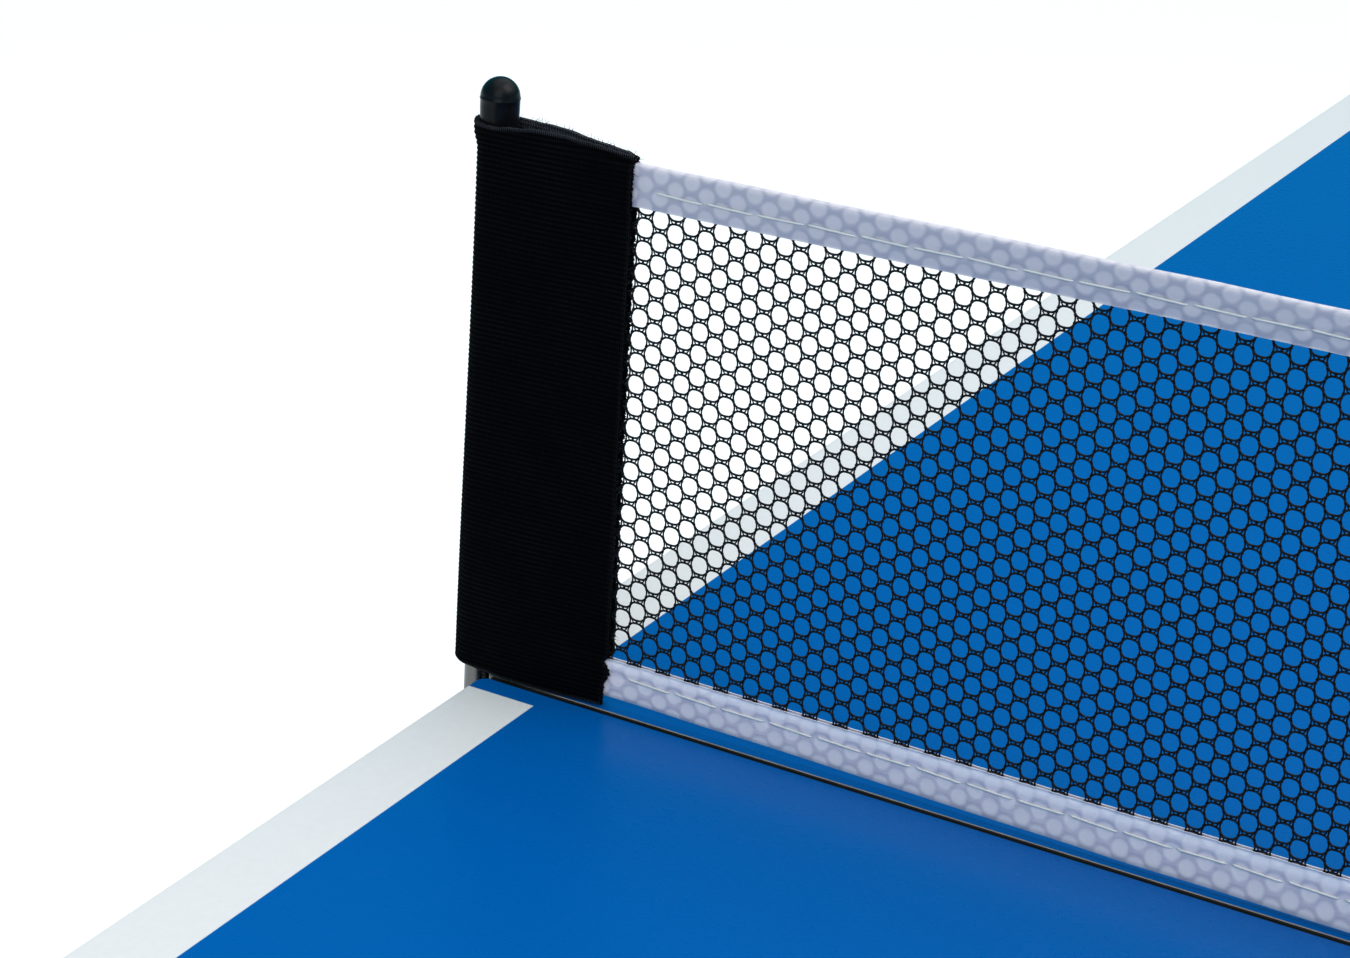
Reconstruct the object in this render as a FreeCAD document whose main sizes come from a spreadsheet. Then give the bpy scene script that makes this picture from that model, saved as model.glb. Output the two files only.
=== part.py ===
"""Mid-size table tennis table: two free-standing halves on folding legs, with a drop-in net.

+X runs along the table, +Y across it and +Z up. The origin is on the floor, under the middle
of the net. The net half lies at +X and carries the net; the plain half lies at -X.
"""

import FreeCAD
import Part
import math
import os
import re
import Sketcher

from FreeCAD import Rotation, Vector

SIZES = {
    # whole table
    "table_length": 1830,
    "table_width": 915,
    "table_height": 760,
    "joint_gap": 0.6,
    # top: board, laminate and edge bands
    "top_thick": 12,
    "laminate_thick": 0.8,
    "band_thick": 1,
    "end_corner_radius": 12,
    "joint_corner_radius": 4,
    "band_edge_radius": 0.6,
    # rails of the underframe
    "rail_depth": 50,
    "rail_width": 20,
    "rail_wall": 1.6,
    "rail_inset": 20,
    "joint_rail_inset": 2,
    "end_cap_thick": 2,
    "end_cap_plug": 12,
    "corner_plate_arm": 40,
    "corner_plate_thick": 2,
    "corner_plate_depth": 40,
    # leg frames
    "leg_tube_radius": 11,
    "leg_tube_wall": 1.5,
    "leg_plug": 14,
    "crossbar_radius": 9.5,
    "crossbar_wall": 1.3,
    "high_crossbar_drop": 70,
    "low_crossbar_height": 304,
    "outer_leg_inset": 65,
    "outer_leg_spread": 388,
    "outer_pivot_depth": 26,
    "inner_leg_inset": 70,
    "inner_leg_spread": 350,
    "inner_pivot_depth": 49,
    "foot_radius": 12.5,
    "foot_grip": 30,
    "foot_sole": 5,
    "foot_groove": 1.2,
    # leg brackets and their bolts
    "bracket_gap": 1,
    "bracket_thick": 2.5,
    "bracket_web": 2,
    "bracket_short_arm": 22,
    "bracket_long_arm": 40,
    "bracket_below_pivot": 12,
    "bolt_radius": 4,
    "bolt_clearance": 0.08,
    "bolt_head_radius": 6.5,
    "bolt_head_thick": 4,
    # folding stays
    "stay_run": 300,
    "stay_drop": 250,
    "stay_bar_radius": 8,
    "stay_bar_thick": 3,
    "lower_stay_offset": 13,
    "upper_stay_offset": 18,
    "rivet_head_radius": 6,
    "rivet_head_thick": 1.2,
    "stay_plate_offset": 23,
    "stay_plate_half_length": 14,
    # dowels that line the halves up
    "dowel_radius": 5,
    "dowel_clearance": 0.06,
    "dowel_reach": 14,
    "dowel_bush_radius": 7,
    "dowel_bush_length": 18,
    "dowel_spread": 300,
    # carry handles
    "handle_grip_radius": 6,
    "handle_wire_radius": 3,
    "handle_eye_half": 4,
    "handle_eye_radius": 4.5,
    "handle_pin_radius": 2,
    "handle_half_width": 50,
    "handle_drop": 30,
    "handle_pivot_depth": 26,
    "handle_pivot_reach": 7,
    "handle_lug_thick": 4,
    # net, tapes and sleeves
    "net_height": 152.5,
    "net_offset": 4,
    "net_bottom_gap": 1,
    "net_mesh_thick": 0.8,
    "tape_height": 12,
    "tape_thick": 2.4,
    "sleeve_width": 48.5,
    "sleeve_thick": 1.2,
    "sleeve_seam": 11,
    "sleeve_end_thick": 3.6,
    "sleeve_above_net": 3,
    "sleeve_above_table": 1.5,
    # net posts, caps and sockets
    "post_radius": 4,
    "post_offset": 6.3,
    "post_outside": 5.3,
    "post_above_net": 10.8,
    "post_bottom_depth": 57,
    "cap_radius": 5.25,
    "cap_length": 17.5,
    "cap_top_thick": 2.5,
    "socket_radius": 7,
    "socket_clearance": 0.06,
    "socket_top_depth": 15,
    "socket_floor": 3,
    "socket_plate_length": 50,
    "socket_plate_thick": 3,
    "socket_plate_height": 42,
    "socket_arm_half_width": 5,
    "socket_arm_height": 34,
    # thumbscrews that clamp the posts
    "screw_radius": 2.5,
    "screw_clearance": 0.05,
    "screw_tip_gap": 0.2,
    "screw_depth": 38,
    "knob_core_radius": 6,
    "knob_lobe_radius": 3.2,
    "knob_thick": 9,
    "knob_stand_off": 3,
    "knob_lobes": 6,
}

ALIASES = re.compile(r"\b(" + "|".join(sorted(SIZES, key=len, reverse=True)) + r")\b")

# Places that several parts share, in terms of the driving sizes.
SHARED = {
    "TOP_UNDER": "(table_height - top_thick)",
    "FRAME_UNDER": "(table_height - top_thick - rail_depth)",
    "HALF_WIDTH": "(table_width / 2)",
    "RAIL_OUT": "(table_width / 2 - rail_inset)",
    "RAIL_IN": "(table_width / 2 - rail_inset - rail_width)",
    "FRAME_END": "(table_length / 2 - rail_inset)",
    "OUTER_PIVOT": "(table_length / 2 - outer_leg_inset)",
    "OUTER_PIVOT_Z": "(table_height - outer_pivot_depth)",
    "INNER_PIVOT_Z": "(table_height - inner_pivot_depth)",
    "POST_Y": "(table_width / 2 + post_outside)",
    "SLEEVE_RADIUS": "(cap_radius + 0.15 + sleeve_thick)",
    "NET_HALF": "(table_width / 2 + post_outside + cap_radius + 0.15 + sleeve_thick - sleeve_width)",
    "NET_TOP": "(table_height + net_height)",
    "STAY_LENGTH": "(sqrt(stay_run * stay_run + stay_drop * stay_drop))",
    "UPPER_STAY": "((sqrt(stay_run * stay_run + stay_drop * stay_drop) + stay_run - stay_drop) / 2)",
    "LOWER_STAY": "((sqrt(stay_run * stay_run + stay_drop * stay_drop) - stay_run + stay_drop) / 2)",
}
SHARED_NAMES = re.compile(r"\b(" + "|".join(sorted(SHARED, key=len, reverse=True)) + r")\b")

doc = FreeCAD.newDocument("TableTennisTable")
sheet = doc.addObject("Spreadsheet::Sheet", "Sizes")
for row, (alias, size) in enumerate(SIZES.items(), start=1):
    sheet.set(f"A{row}", alias.replace("_", " "))
    sheet.set(f"B{row}", str(size))
    sheet.setAlias(f"B{row}", alias)
doc.recompute()

nodes = {}


def spelled_out(words):
    """The words of a size with every shared place replaced by driving sizes."""
    return SHARED_NAMES.sub(lambda found: SHARED[found.group(1)], str(words))


def expression(words):
    """A size in FreeCAD's own expression language, read from the sheet."""
    return ALIASES.sub(r"Sizes.\1", spelled_out(words))


def value(words):
    """The same size as a number, for Python's own use."""
    sheet.set("D1", "=" + spelled_out(words))
    sheet.recompute()
    return float(sheet.get("D1"))


def bind(obj, **properties):
    """Ties properties to the sheet. Two underscores stand for a dot."""
    for name, words in properties.items():
        obj.setExpression(name.replace("__", "."), expression(words))
    return obj


def place(obj, at):
    """Ties a part's place to the sheet."""
    for axis, words in zip("xyz", at):
        obj.setExpression(f"Placement.Base.{axis}", expression(words))
    return obj


def node(obj, label):
    """Names a finished sub-part. Its label is its file's name."""
    obj.Label = label
    nodes[label] = obj
    return obj


def new(kind, name):
    return doc.addObject(kind, name)


def box(name, low, size):
    """A block from its lowest corner."""
    block = bind(new("Part::Box", name), Length=size[0], Width=size[1], Height=size[2])
    return place(block, low)


TURNS = {"x": Rotation(Vector(0, 1, 0), 90), "y": Rotation(Vector(1, 0, 0), -90), "z": Rotation()}


def rod(name, start, along, radius, length):
    """A cylinder from the middle of its first end."""
    cylinder = bind(new("Part::Cylinder", name), Radius=radius, Height=length)
    cylinder.Placement.Rotation = TURNS[along]
    return place(cylinder, start)


def fuse(name, *shapes):
    joined = new("Part::MultiFuse", name)
    joined.Shapes = list(shapes)
    joined.Refine = True
    return joined


def cut(name, base, *tools):
    removed = tools[0] if len(tools) == 1 else fuse(name + "Tools", *tools)
    result = new("Part::Cut", name)
    result.Base = base
    result.Tool = removed
    return result


def common(name, first, second):
    result = new("Part::Common", name)
    result.Base = first
    result.Tool = second
    return result


def group(name, *shapes):
    """Separate solids kept as one sub-part."""
    together = new("Part::Compound", name)
    together.Links = list(shapes)
    return together


def mirrored(name, source, normal):
    copy = new("Part::Mirroring", name)
    copy.Source = source
    copy.Normal = Vector(*normal)
    return copy


def across(name, source):
    """The same part on the other side of the table's centre line."""
    return mirrored(name, source, (0, 1, 0))


def both_sides(name, source):
    return group(name, source, across(name + "Across", source))


def both_halves(source, words):
    """The part on the net half, and its mirror image on the plain half."""
    node(source, "net_half_" + words)
    node(mirrored(source.Name + "Plain", source, (1, 0, 0)), "plain_half_" + words)


def rounded(name, block, radii):
    """A block with its four upright edges rounded. radii gives each side's radius, low x then high x."""
    doc.recompute()
    middle = block.Shape.BoundBox.Center.x
    edges = []
    for number, edge in enumerate(block.Shape.Edges, start=1):
        ends = [vertex.Point for vertex in edge.Vertexes]
        if abs(ends[0].z - ends[1].z) > 0.5 * block.Shape.BoundBox.ZLength:
            radius = value(radii[0] if ends[0].x < middle else radii[1])
            edges.append((number, radius, radius))
    fillet = new("Part::Fillet", name)
    fillet.Base = block
    fillet.Edges = edges
    return fillet


def eased(name, source, keep):
    """Rounds the top edges for which keep is true, by the band's own edge radius."""
    doc.recompute()
    radius = value("band_edge_radius")
    edges = []
    for number, edge in enumerate(source.Shape.Edges, start=1):
        box_of = edge.BoundBox
        flat = box_of.ZLength < 1e-6 and abs(box_of.ZMax - source.Shape.BoundBox.ZMax) < 1e-6
        if flat and keep(edge):
            edges.append((number, radius, radius))
    fillet = new("Part::Fillet", name)
    fillet.Base = source
    fillet.Edges = edges
    return fillet


def sketch_on(body, plane, name, corners):
    """A closed outline whose corners are all tied to the sheet."""
    sketch = body.newObject("Sketcher::SketchObject", name)
    origin_plane = [f for f in body.Origin.OriginFeatures if f.Role == plane][0]
    sketch.AttachmentSupport = [(origin_plane, "")]
    sketch.MapMode = "FlatFace"
    points = [Vector(value(a), value(b), 0) for a, b in corners]
    for start, end in zip(points, points[1:] + points[:1]):
        sketch.addGeometry(Part.LineSegment(start, end), False)
    count = len(corners)
    for line in range(count):
        sketch.addConstraint(Sketcher.Constraint("Coincident", line, 2, (line + 1) % count, 1))
    for line, (corner, point) in enumerate(zip(corners, points)):
        for kind, axis, words, size in (
            ("DistanceX", -2, corner[0], point.x),
            ("DistanceY", -1, corner[1], point.y),
        ):
            if abs(size) < 1e-9:
                sketch.addConstraint(Sketcher.Constraint("PointOnObject", line, 1, axis))
                continue
            added = sketch.addConstraint(Sketcher.Constraint(kind, -1, 1, line, 1, size))
            label = f"{kind}{line}"
            sketch.renameConstraint(added, label)
            sketch.setExpression("Constraints." + label, expression(words))
    return sketch


def turned(name, corners):
    """A body turned about the upright axis from a half outline."""
    body = new("PartDesign::Body", name)
    outline = sketch_on(body, "XZ_Plane", name + "Outline", corners)
    turn = body.newObject("PartDesign::Revolution", name + "Turn")
    turn.Profile = outline
    turn.ReferenceAxis = (outline, ["V_Axis"])
    turn.Angle = 360
    body.Tip = turn
    return body


# ---------------------------------------------------------------- top of one half


def slab(name, margin, low, thick):
    """The half's outline, taken in by margin, with its two corner radii."""
    block = box(
        name + "Block",
        (f"joint_gap / 2 + {margin}", f"-HALF_WIDTH + {margin}", low),
        (f"table_length / 2 - joint_gap / 2 - 2 * {margin}", f"table_width - 2 * {margin}", thick),
    )
    radii = (f"joint_corner_radius - {margin}", f"end_corner_radius - {margin}")
    return rounded(name, block, radii)


def make_top():
    """The board, its laminate, and the two edge bands that wrap them."""
    both_halves(slab("Board", "band_thick", "TOP_UNDER", "top_thick - laminate_thick"), "board")
    laminate_low = "table_height - laminate_thick"
    both_halves(slab("Laminate", "band_thick", laminate_low, "laminate_thick"), "playing_surface")
    outline = slab("BandOutline", "0", "TOP_UNDER", "top_thick")
    filling = slab("BandFilling", "band_thick", "TOP_UNDER", "top_thick")
    ring = cut("BandRing", outline, filling)
    end = "joint_gap / 2 + joint_corner_radius"
    size = (end, "table_width + 2", "top_thick + 2")
    joint_zone = box("JointZone", ("0", "-HALF_WIDTH - 1", "TOP_UNDER - 1"), size)
    rim = value("joint_gap / 2")
    side = value("HALF_WIDTH")
    far_end = value("table_length / 2")

    def on_the_outside(edge):
        middle = edge.CenterOfMass
        beside = abs(abs(middle.y) - side) < 0.6 and edge.BoundBox.YLength < 20
        return beside or abs(middle.x - rim) < 0.6 or abs(middle.x - far_end) < 0.6

    def outer_run(edge):
        middle = edge.CenterOfMass
        return on_the_outside(edge) or (edge.BoundBox.XLength < 11.99 + 0.02 and middle.x > far_end - 6.5
                                        and abs(middle.y) > side - 4.5)

    joint_band = common("JointBandPlain", ring, joint_zone)
    outer_band = cut("OuterBandPlain", ring, joint_zone)
    both_halves(eased("JointBand", joint_band, lambda edge: abs(edge.CenterOfMass.x - rim) < 0.01), "joint_band")
    both_halves(eased("OuterBand", outer_band, lambda edge: edge.BoundBox.XLength > 100
                      and abs(abs(edge.CenterOfMass.y) - side) < 0.01), "outer_band")


# ---------------------------------------------------------------- underframe of one half


def hollow_bar(name, low, size, along):
    """A rectangular tube, open at both ends."""
    inner_low = [f"{at} + rail_wall" for at in low]
    inner_size = [f"{length} - 2 * rail_wall" for length in size]
    inner_low[along] = f"{low[along]} - 1"
    inner_size[along] = f"{size[along]} + 2"
    return cut(name, box(name + "Skin", low, size), box(name + "Hollow", inner_low, inner_size))


def make_rails():
    start = "joint_rail_inset + end_cap_thick"
    side_rail = hollow_bar(
        "SideRail",
        (start, "RAIL_IN", "FRAME_UNDER"),
        (f"FRAME_END - ({start})", "rail_width", "rail_depth"),
        0,
    )
    both_halves(both_sides("SideRails", side_rail), "side_rails")

    size = ("rail_width", "2 * RAIL_IN", "rail_depth")
    end_rail = hollow_bar("EndRail", ("FRAME_END - rail_width", "-RAIL_IN", "FRAME_UNDER"), size, 1)
    joint_rail = hollow_bar("JointRailTube", ("joint_rail_inset", "-RAIL_IN", "FRAME_UNDER"), size, 1)
    dowel_z = "TOP_UNDER - rail_depth / 2"
    holes = [
        rod(f"DowelHole{number}", ("0", f"{sign}dowel_spread", dowel_z), "x", "dowel_bush_radius",
            "joint_rail_inset + rail_wall + 1")
        for number, sign in enumerate(("", "-"))
    ]
    both_halves(group("CrossRails", end_rail, cut("JointRail", joint_rail, *holes)), "cross_rails")


def end_cap(name, plate_x, plug_x):
    plate = box(name + "Plate", (plate_x, "RAIL_IN", "FRAME_UNDER"), ("end_cap_thick", "rail_width", "rail_depth"))
    plug = box(
        name + "Plug",
        (plug_x, "RAIL_IN + rail_wall", "FRAME_UNDER + rail_wall"),
        ("end_cap_plug", "rail_width - 2 * rail_wall", "rail_depth - 2 * rail_wall"),
    )
    return both_sides(name + "Pair", fuse(name, plate, plug))


def make_rail_caps():
    joint_end = end_cap("JointCap", "joint_rail_inset", "joint_rail_inset + end_cap_thick")
    far_end = end_cap("FarCap", "FRAME_END", "FRAME_END - end_cap_plug")
    both_halves(group("RailCaps", joint_end, far_end), "rail_end_caps")


def corner_plate(name, corner_x, towards):
    """An angle plate in a corner of the frame. towards is + or -, the way its long arm runs."""
    low_z = "TOP_UNDER - 5 - corner_plate_depth"
    back = f"{corner_x} - corner_plate_thick" if towards == "-" else corner_x
    arm = f"{corner_x} - corner_plate_arm" if towards == "-" else corner_x
    on_cross_rail = box(
        name + "OnCrossRail",
        (back, "RAIL_IN - corner_plate_arm", low_z),
        ("corner_plate_thick", "corner_plate_arm", "corner_plate_depth"),
    )
    on_side_rail = box(
        name + "OnSideRail",
        (arm, "RAIL_IN - corner_plate_thick", low_z),
        ("corner_plate_arm", "corner_plate_thick", "corner_plate_depth"),
    )
    return both_sides(name + "Pair", fuse(name, on_cross_rail, on_side_rail))


def make_corner_plates():
    joint_pair = corner_plate("JointCorner", "joint_rail_inset + rail_width", "+")
    end_pair = corner_plate("EndCorner", "FRAME_END - rail_width", "-")
    both_halves(group("CornerPlates", joint_pair, end_pair), "corner_plates")


# ---------------------------------------------------------------- leg frames of one half

LEG_FRAMES = {
    # name: pivot x, pivot z, spread, the way the feet travel as it folds
    "outer": ("OUTER_PIVOT", "OUTER_PIVOT_Z", "outer_leg_spread", "-"),
    "inner": ("inner_leg_inset", "INNER_PIVOT_Z", "inner_leg_spread", "+"),
}


def leg_bracket(frame):
    """The channel that a leg turns in, open downwards."""
    x, z, spread, way = LEG_FRAMES[frame]
    name = frame.title() + "Bracket"
    low_x = f"{x} - bracket_long_arm" if way == "-" else f"{x} - bracket_short_arm"
    length = "bracket_long_arm + bracket_short_arm"
    half = "(leg_tube_radius + bracket_gap + bracket_thick)"
    skin = box(
        name + "Skin",
        (low_x, f"{spread} - {half}", f"{z} - bracket_below_pivot"),
        (length, f"2 * {half}", f"TOP_UNDER - {z} + bracket_below_pivot"),
    )
    slot = box(
        name + "Slot",
        (f"{low_x} - 1", f"{spread} - leg_tube_radius - bracket_gap", f"{z} - bracket_below_pivot - 1"),
        (f"{length} + 2", "2 * (leg_tube_radius + bracket_gap)",
         f"TOP_UNDER - {z} + bracket_below_pivot + 1 - bracket_web"),
    )
    hole = rod(name + "Hole", (x, f"{spread} - {half} - 1", z), "y", "bolt_radius", f"2 * {half} + 2")
    return both_sides(name + "Pair", cut(name, skin, slot, hole))


def pivot_bolt(frame):
    x, z, spread, _ = LEG_FRAMES[frame]
    name = frame.title() + "Bolt"
    half = "(leg_tube_radius + bracket_gap + bracket_thick)"
    shank = rod(name + "Shank", (x, f"{spread} - {half}", z), "y", "bolt_radius", f"2 * {half}")
    head = rod(name + "Head", (x, f"{spread} + {half}", z), "y", "bolt_head_radius", "bolt_head_thick")
    nut = rod(name + "Nut", (x, f"{spread} - {half} - bolt_head_thick", z), "y", "bolt_head_radius",
              "bolt_head_thick")
    return both_sides(name + "Pair", fuse(name, shank, head, nut))


def leg_tube(frame):
    """One leg: a tube with a rounded, plugged top, the bolt's hole and the welded stay stud."""
    x, z, spread, _ = LEG_FRAMES[frame]
    name = frame.title() + "Leg"
    tube = rod(name + "Skin", (x, spread, "foot_sole"), "z", "leg_tube_radius",
               f"{z} + leg_tube_radius - foot_sole")
    above = box(
        name + "Above",
        (f"{x} - leg_tube_radius - 1", f"{spread} - leg_tube_radius - 1", z),
        ("2 * leg_tube_radius + 2", "2 * leg_tube_radius + 2", "leg_tube_radius + 1"),
    )
    crown = rod(name + "Crown", (x, f"{spread} - leg_tube_radius - 2", z), "y", "leg_tube_radius",
                "2 * leg_tube_radius + 4")
    hollow = rod(name + "Hollow", (x, spread, "foot_sole - 1"), "z", "leg_tube_radius - leg_tube_wall",
                 f"{z} - leg_plug - foot_sole + 1")
    hole = rod(name + "Hole", (x, f"{spread} - leg_tube_radius - 1", z), "y", "bolt_radius + bolt_clearance",
               "2 * leg_tube_radius + 2")
    drilled = cut(name + "Drilled", tube, cut(name + "Trim", above, crown), hollow, hole)
    stud_z = f"{z} - stay_drop"
    stud = rod(
        name + "Stud",
        (x, f"{spread} + leg_tube_radius - leg_tube_wall", stud_z),
        "y",
        "bolt_radius",
        "lower_stay_offset + stay_bar_thick + 0.2 - leg_tube_radius + leg_tube_wall",
    )
    stud_head = rod(
        name + "StudHead",
        (x, f"{spread} + lower_stay_offset + stay_bar_thick + 0.2", stud_z),
        "y",
        "rivet_head_radius",
        "rivet_head_thick",
    )
    return both_sides(name + "Pair", fuse(name, drilled, stud, stud_head))


def crossbar(name, frame, z):
    """A bar between the legs, its ends shaped to sit on the tubes."""
    x, _, spread, _ = LEG_FRAMES[frame]
    bar = rod(name + "Skin", (x, f"-{spread}", z), "y", "crossbar_radius", f"2 * {spread}")
    hollow = rod(name + "Hollow", (x, f"-{spread} - 1", z), "y", "crossbar_radius - crossbar_wall",
                 f"2 * {spread} + 2")
    legs = [
        rod(f"{name}Cope{number}", (x, f"{sign}{spread}", f"{z} - 20"), "z", "leg_tube_radius", "40")
        for number, sign in enumerate(("", "-"))
    ]
    return cut(name, bar, hollow, *legs)


def foot(frame):
    """A rubber foot: a cup with a grooved wall, pushed onto the tube."""
    x, _, spread, _ = LEG_FRAMES[frame]
    top = "(foot_sole + foot_grip)"
    name = frame.title() + "Foot"
    body = turned(
        name + "Body",
        [
            ("0", "0"),
            ("foot_radius - 1", "0"),
            ("foot_radius", "1"),
            ("foot_radius", "8"),
            ("foot_radius - foot_groove", "9"),
            ("foot_radius - foot_groove", "11"),
            ("foot_radius", "12"),
            ("foot_radius", f"{top} - 1"),
            ("foot_radius - 1", top),
            ("leg_tube_radius", top),
            ("leg_tube_radius", "foot_sole"),
            ("0", "foot_sole"),
        ],
    )
    place(body, (x, spread, "0"))
    return both_sides(name + "Pair", body)


def stay_bar(name, length, far_head, near_side):
    """A flat bar that turns about the origin and reaches along +X. It lies between y 0 and its
    thickness. The half rivet at its far end stands out on both faces."""
    plate = box(name + "Plate", ("0", "0", "-stay_bar_radius"), (length, "stay_bar_thick", "2 * stay_bar_radius"))
    ends = [rod(f"{name}End{number}", (at, "0", "0"), "y", "stay_bar_radius", "stay_bar_thick")
            for number, at in enumerate(("0", length))]
    eye = rod(name + "Eye", ("0", "-1", "0"), "y", "bolt_radius + bolt_clearance", "stay_bar_thick + 2")
    head = rod(name + "Head", (length, far_head, "0"), "y", "rivet_head_radius", "rivet_head_thick")
    shank = rod(name + "Shank", (length, near_side, "0"), "y", "bolt_radius", "0.9")
    return fuse(name, cut(name + "Drilled", fuse(name + "Blank", plate, *ends), eye), head, shank)


def upper_stay(frame):
    """From the stud on the frame, down towards the leg."""
    x, z, spread, way = LEG_FRAMES[frame]
    name = frame.title() + "UpperStay"
    bar = stay_bar(name, "UPPER_STAY", "stay_bar_thick", "-0.9")
    other = "+" if way == "+" else "-"
    place(bar, (f"{x} {other} stay_run", f"{spread} + upper_stay_offset", z))
    bar.Placement.Rotation = Rotation(Vector(0, 1, 0), 45)
    angle = "atan(stay_drop / stay_run)" if way == "-" else "180 deg - atan(stay_drop / stay_run)"
    bar.setExpression("Placement.Rotation.Angle", expression(angle))
    return both_sides(name + "Pair", bar)


def lower_stay(frame):
    """From the stud on the leg, up towards the frame."""
    x, z, spread, way = LEG_FRAMES[frame]
    name = frame.title() + "LowerStay"
    bar = stay_bar(name, "LOWER_STAY", "-rivet_head_thick", "stay_bar_thick")
    place(bar, (x, f"{spread} + lower_stay_offset", f"{z} - stay_drop"))
    bar.Placement.Rotation = Rotation(Vector(0, 1, 0), 45)
    angle = "180 deg + atan(stay_drop / stay_run)" if way == "-" else "360 deg - atan(stay_drop / stay_run)"
    bar.setExpression("Placement.Rotation.Angle", expression(angle))
    return both_sides(name + "Pair", bar)


def stay_mount(frame):
    """The plate and headed stud that an upper stay hangs from."""
    x, z, spread, way = LEG_FRAMES[frame]
    name = frame.title() + "StayMount"
    at = f"({x} {way} stay_run)"
    head_y = f"{spread} + upper_stay_offset - 0.2 - rivet_head_thick"
    if frame == "outer":
        plate_y, plate_low = "RAIL_IN - bracket_thick", f"{z} - bracket_below_pivot"
    else:
        plate_y, plate_low = f"{spread} + stay_plate_offset", f"{z} - bracket_below_pivot"
    plate = box(
        name + "Plate",
        (f"{at} - stay_plate_half_length", plate_y, plate_low),
        ("2 * stay_plate_half_length", "bracket_thick", f"TOP_UNDER - {z} + bracket_below_pivot"),
    )
    flange = box(
        name + "Flange",
        (f"{at} - stay_plate_half_length", f"{plate_y} - 12", "TOP_UNDER - bracket_web"),
        ("2 * stay_plate_half_length", "13", "bracket_web"),
    )
    stud = rod(name + "Stud", (at, head_y, z), "y", "bolt_radius", f"{plate_y} - ({head_y})")
    head = rod(name + "Head", (at, head_y, z), "y", "rivet_head_radius", "rivet_head_thick")
    return both_sides(name + "Pair", fuse(name, plate, flange, stud, head))


def make_legs():
    both_halves(group("LegBrackets", leg_bracket("outer"), leg_bracket("inner")), "leg_brackets")
    both_halves(group("PivotBolts", pivot_bolt("outer"), pivot_bolt("inner")), "pivot_bolts")
    both_halves(group("StayMounts", stay_mount("outer"), stay_mount("inner")), "stay_mounts")
    for frame, (_, z, _, _) in LEG_FRAMES.items():
        both_halves(leg_tube(frame), frame + "_leg_tubes")
        high = crossbar(frame.title() + "HighBar", frame, f"{z} - high_crossbar_drop")
        low = crossbar(frame.title() + "LowBar", frame, "low_crossbar_height")
        both_halves(group(frame.title() + "Crossbars", high, low), frame + "_leg_crossbars")
        both_halves(foot(frame), frame + "_leg_feet")
        both_halves(upper_stay(frame), frame + "_upper_stays")
        both_halves(lower_stay(frame), frame + "_lower_stays")


# ---------------------------------------------------------------- dowels and carry handles


def make_dowels():
    """Pins on the plain half that run into bushes on the net half."""
    z = "TOP_UNDER - rail_depth / 2"
    pin = rod("DowelPin", ("-dowel_bush_length - joint_rail_inset", "dowel_spread", z), "x", "dowel_radius",
              "dowel_bush_length + joint_rail_inset + dowel_reach")
    tip = bind(new("Part::Cone", "DowelTip"), Radius1="dowel_radius", Radius2="dowel_radius - 2", Height="3")
    tip.Placement.Rotation = TURNS["x"]
    place(tip, ("dowel_reach", "dowel_spread", z))
    collar = rod("DowelCollar", ("-joint_rail_inset - rail_wall", "dowel_spread", z), "x", "dowel_bush_radius",
                 "rail_wall")
    node(both_sides("Dowels", fuse("Dowel", pin, tip, collar)), "plain_half_dowels")

    outside = rod("BushSkin", ("joint_rail_inset", "dowel_spread", z), "x", "dowel_bush_radius",
                  "dowel_bush_length")
    bore = rod("BushBore", ("joint_rail_inset - 1", "dowel_spread", z), "x", "dowel_radius + dowel_clearance",
               "dowel_bush_length + 2")
    node(both_sides("DowelBushes", cut("DowelBush", outside, bore)), "net_half_dowel_bushes")


def make_handles():
    """A bail that hangs on two lugs on the end rail."""
    x = "(FRAME_END + handle_pivot_reach)"
    z = "(table_height - handle_pivot_depth)"
    ends = []
    for number, sign in enumerate(("", "-")):
        low = f"{sign}handle_half_width - handle_eye_half"
        eye = rod(f"HandleEye{number}", (x, low, z), "y", "handle_eye_radius", "2 * handle_eye_half")
        arm = rod(f"HandleArm{number}", (x, f"{sign}handle_half_width", f"{z} - handle_drop"), "z",
                  "handle_wire_radius", "handle_drop")
        hole = rod(f"HandleHole{number}", (x, f"{low} - 1", z), "y", "handle_pin_radius + 0.05",
                   "2 * handle_eye_half + 2")
        ends.append(cut(f"HandleEnd{number}", fuse(f"HandleSide{number}", eye, arm), hole))
    grip = rod("HandleGripSkin", (x, "-handle_half_width - 6", f"{z} - handle_drop"), "y", "handle_grip_radius",
               "2 * handle_half_width + 12")
    both_halves(fuse("CarryHandle", *ends, grip), "carry_handle")

    lugs = []
    for number, sign in enumerate(("", "-")):
        inner = "handle_half_width - handle_eye_half - 0.3 - handle_lug_thick"
        low = inner if not sign else f"-({inner}) - handle_lug_thick"
        plate = box(f"LugPlate{number}", ("FRAME_END", low, f"{z} - 9"),
                    ("handle_pivot_reach", "handle_lug_thick", "18"))
        nose = rod(f"LugNose{number}", (x, low, z), "y", "5", "handle_lug_thick")
        pin_low = f"{low} + 1" if not sign else f"{low} - 2 * handle_eye_half - 0.3"
        pin = rod(f"LugPin{number}", (x, pin_low, z), "y", "handle_pin_radius",
                  "handle_lug_thick + 2 * handle_eye_half - 0.7")
        lugs.append(fuse(f"Lug{number}", plate, nose, pin))
    both_halves(group("HandleLugs", *lugs), "handle_lugs")


# ---------------------------------------------------------------- net


def net_band(name, low_z, high_z, thick):
    """A thin upright panel in the net's plane, from sleeve to sleeve."""
    return box(
        name,
        (f"net_offset - {thick} / 2", "-NET_HALF", low_z),
        (thick, "2 * NET_HALF", f"{high_z} - ({low_z})"),
    )


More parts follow.
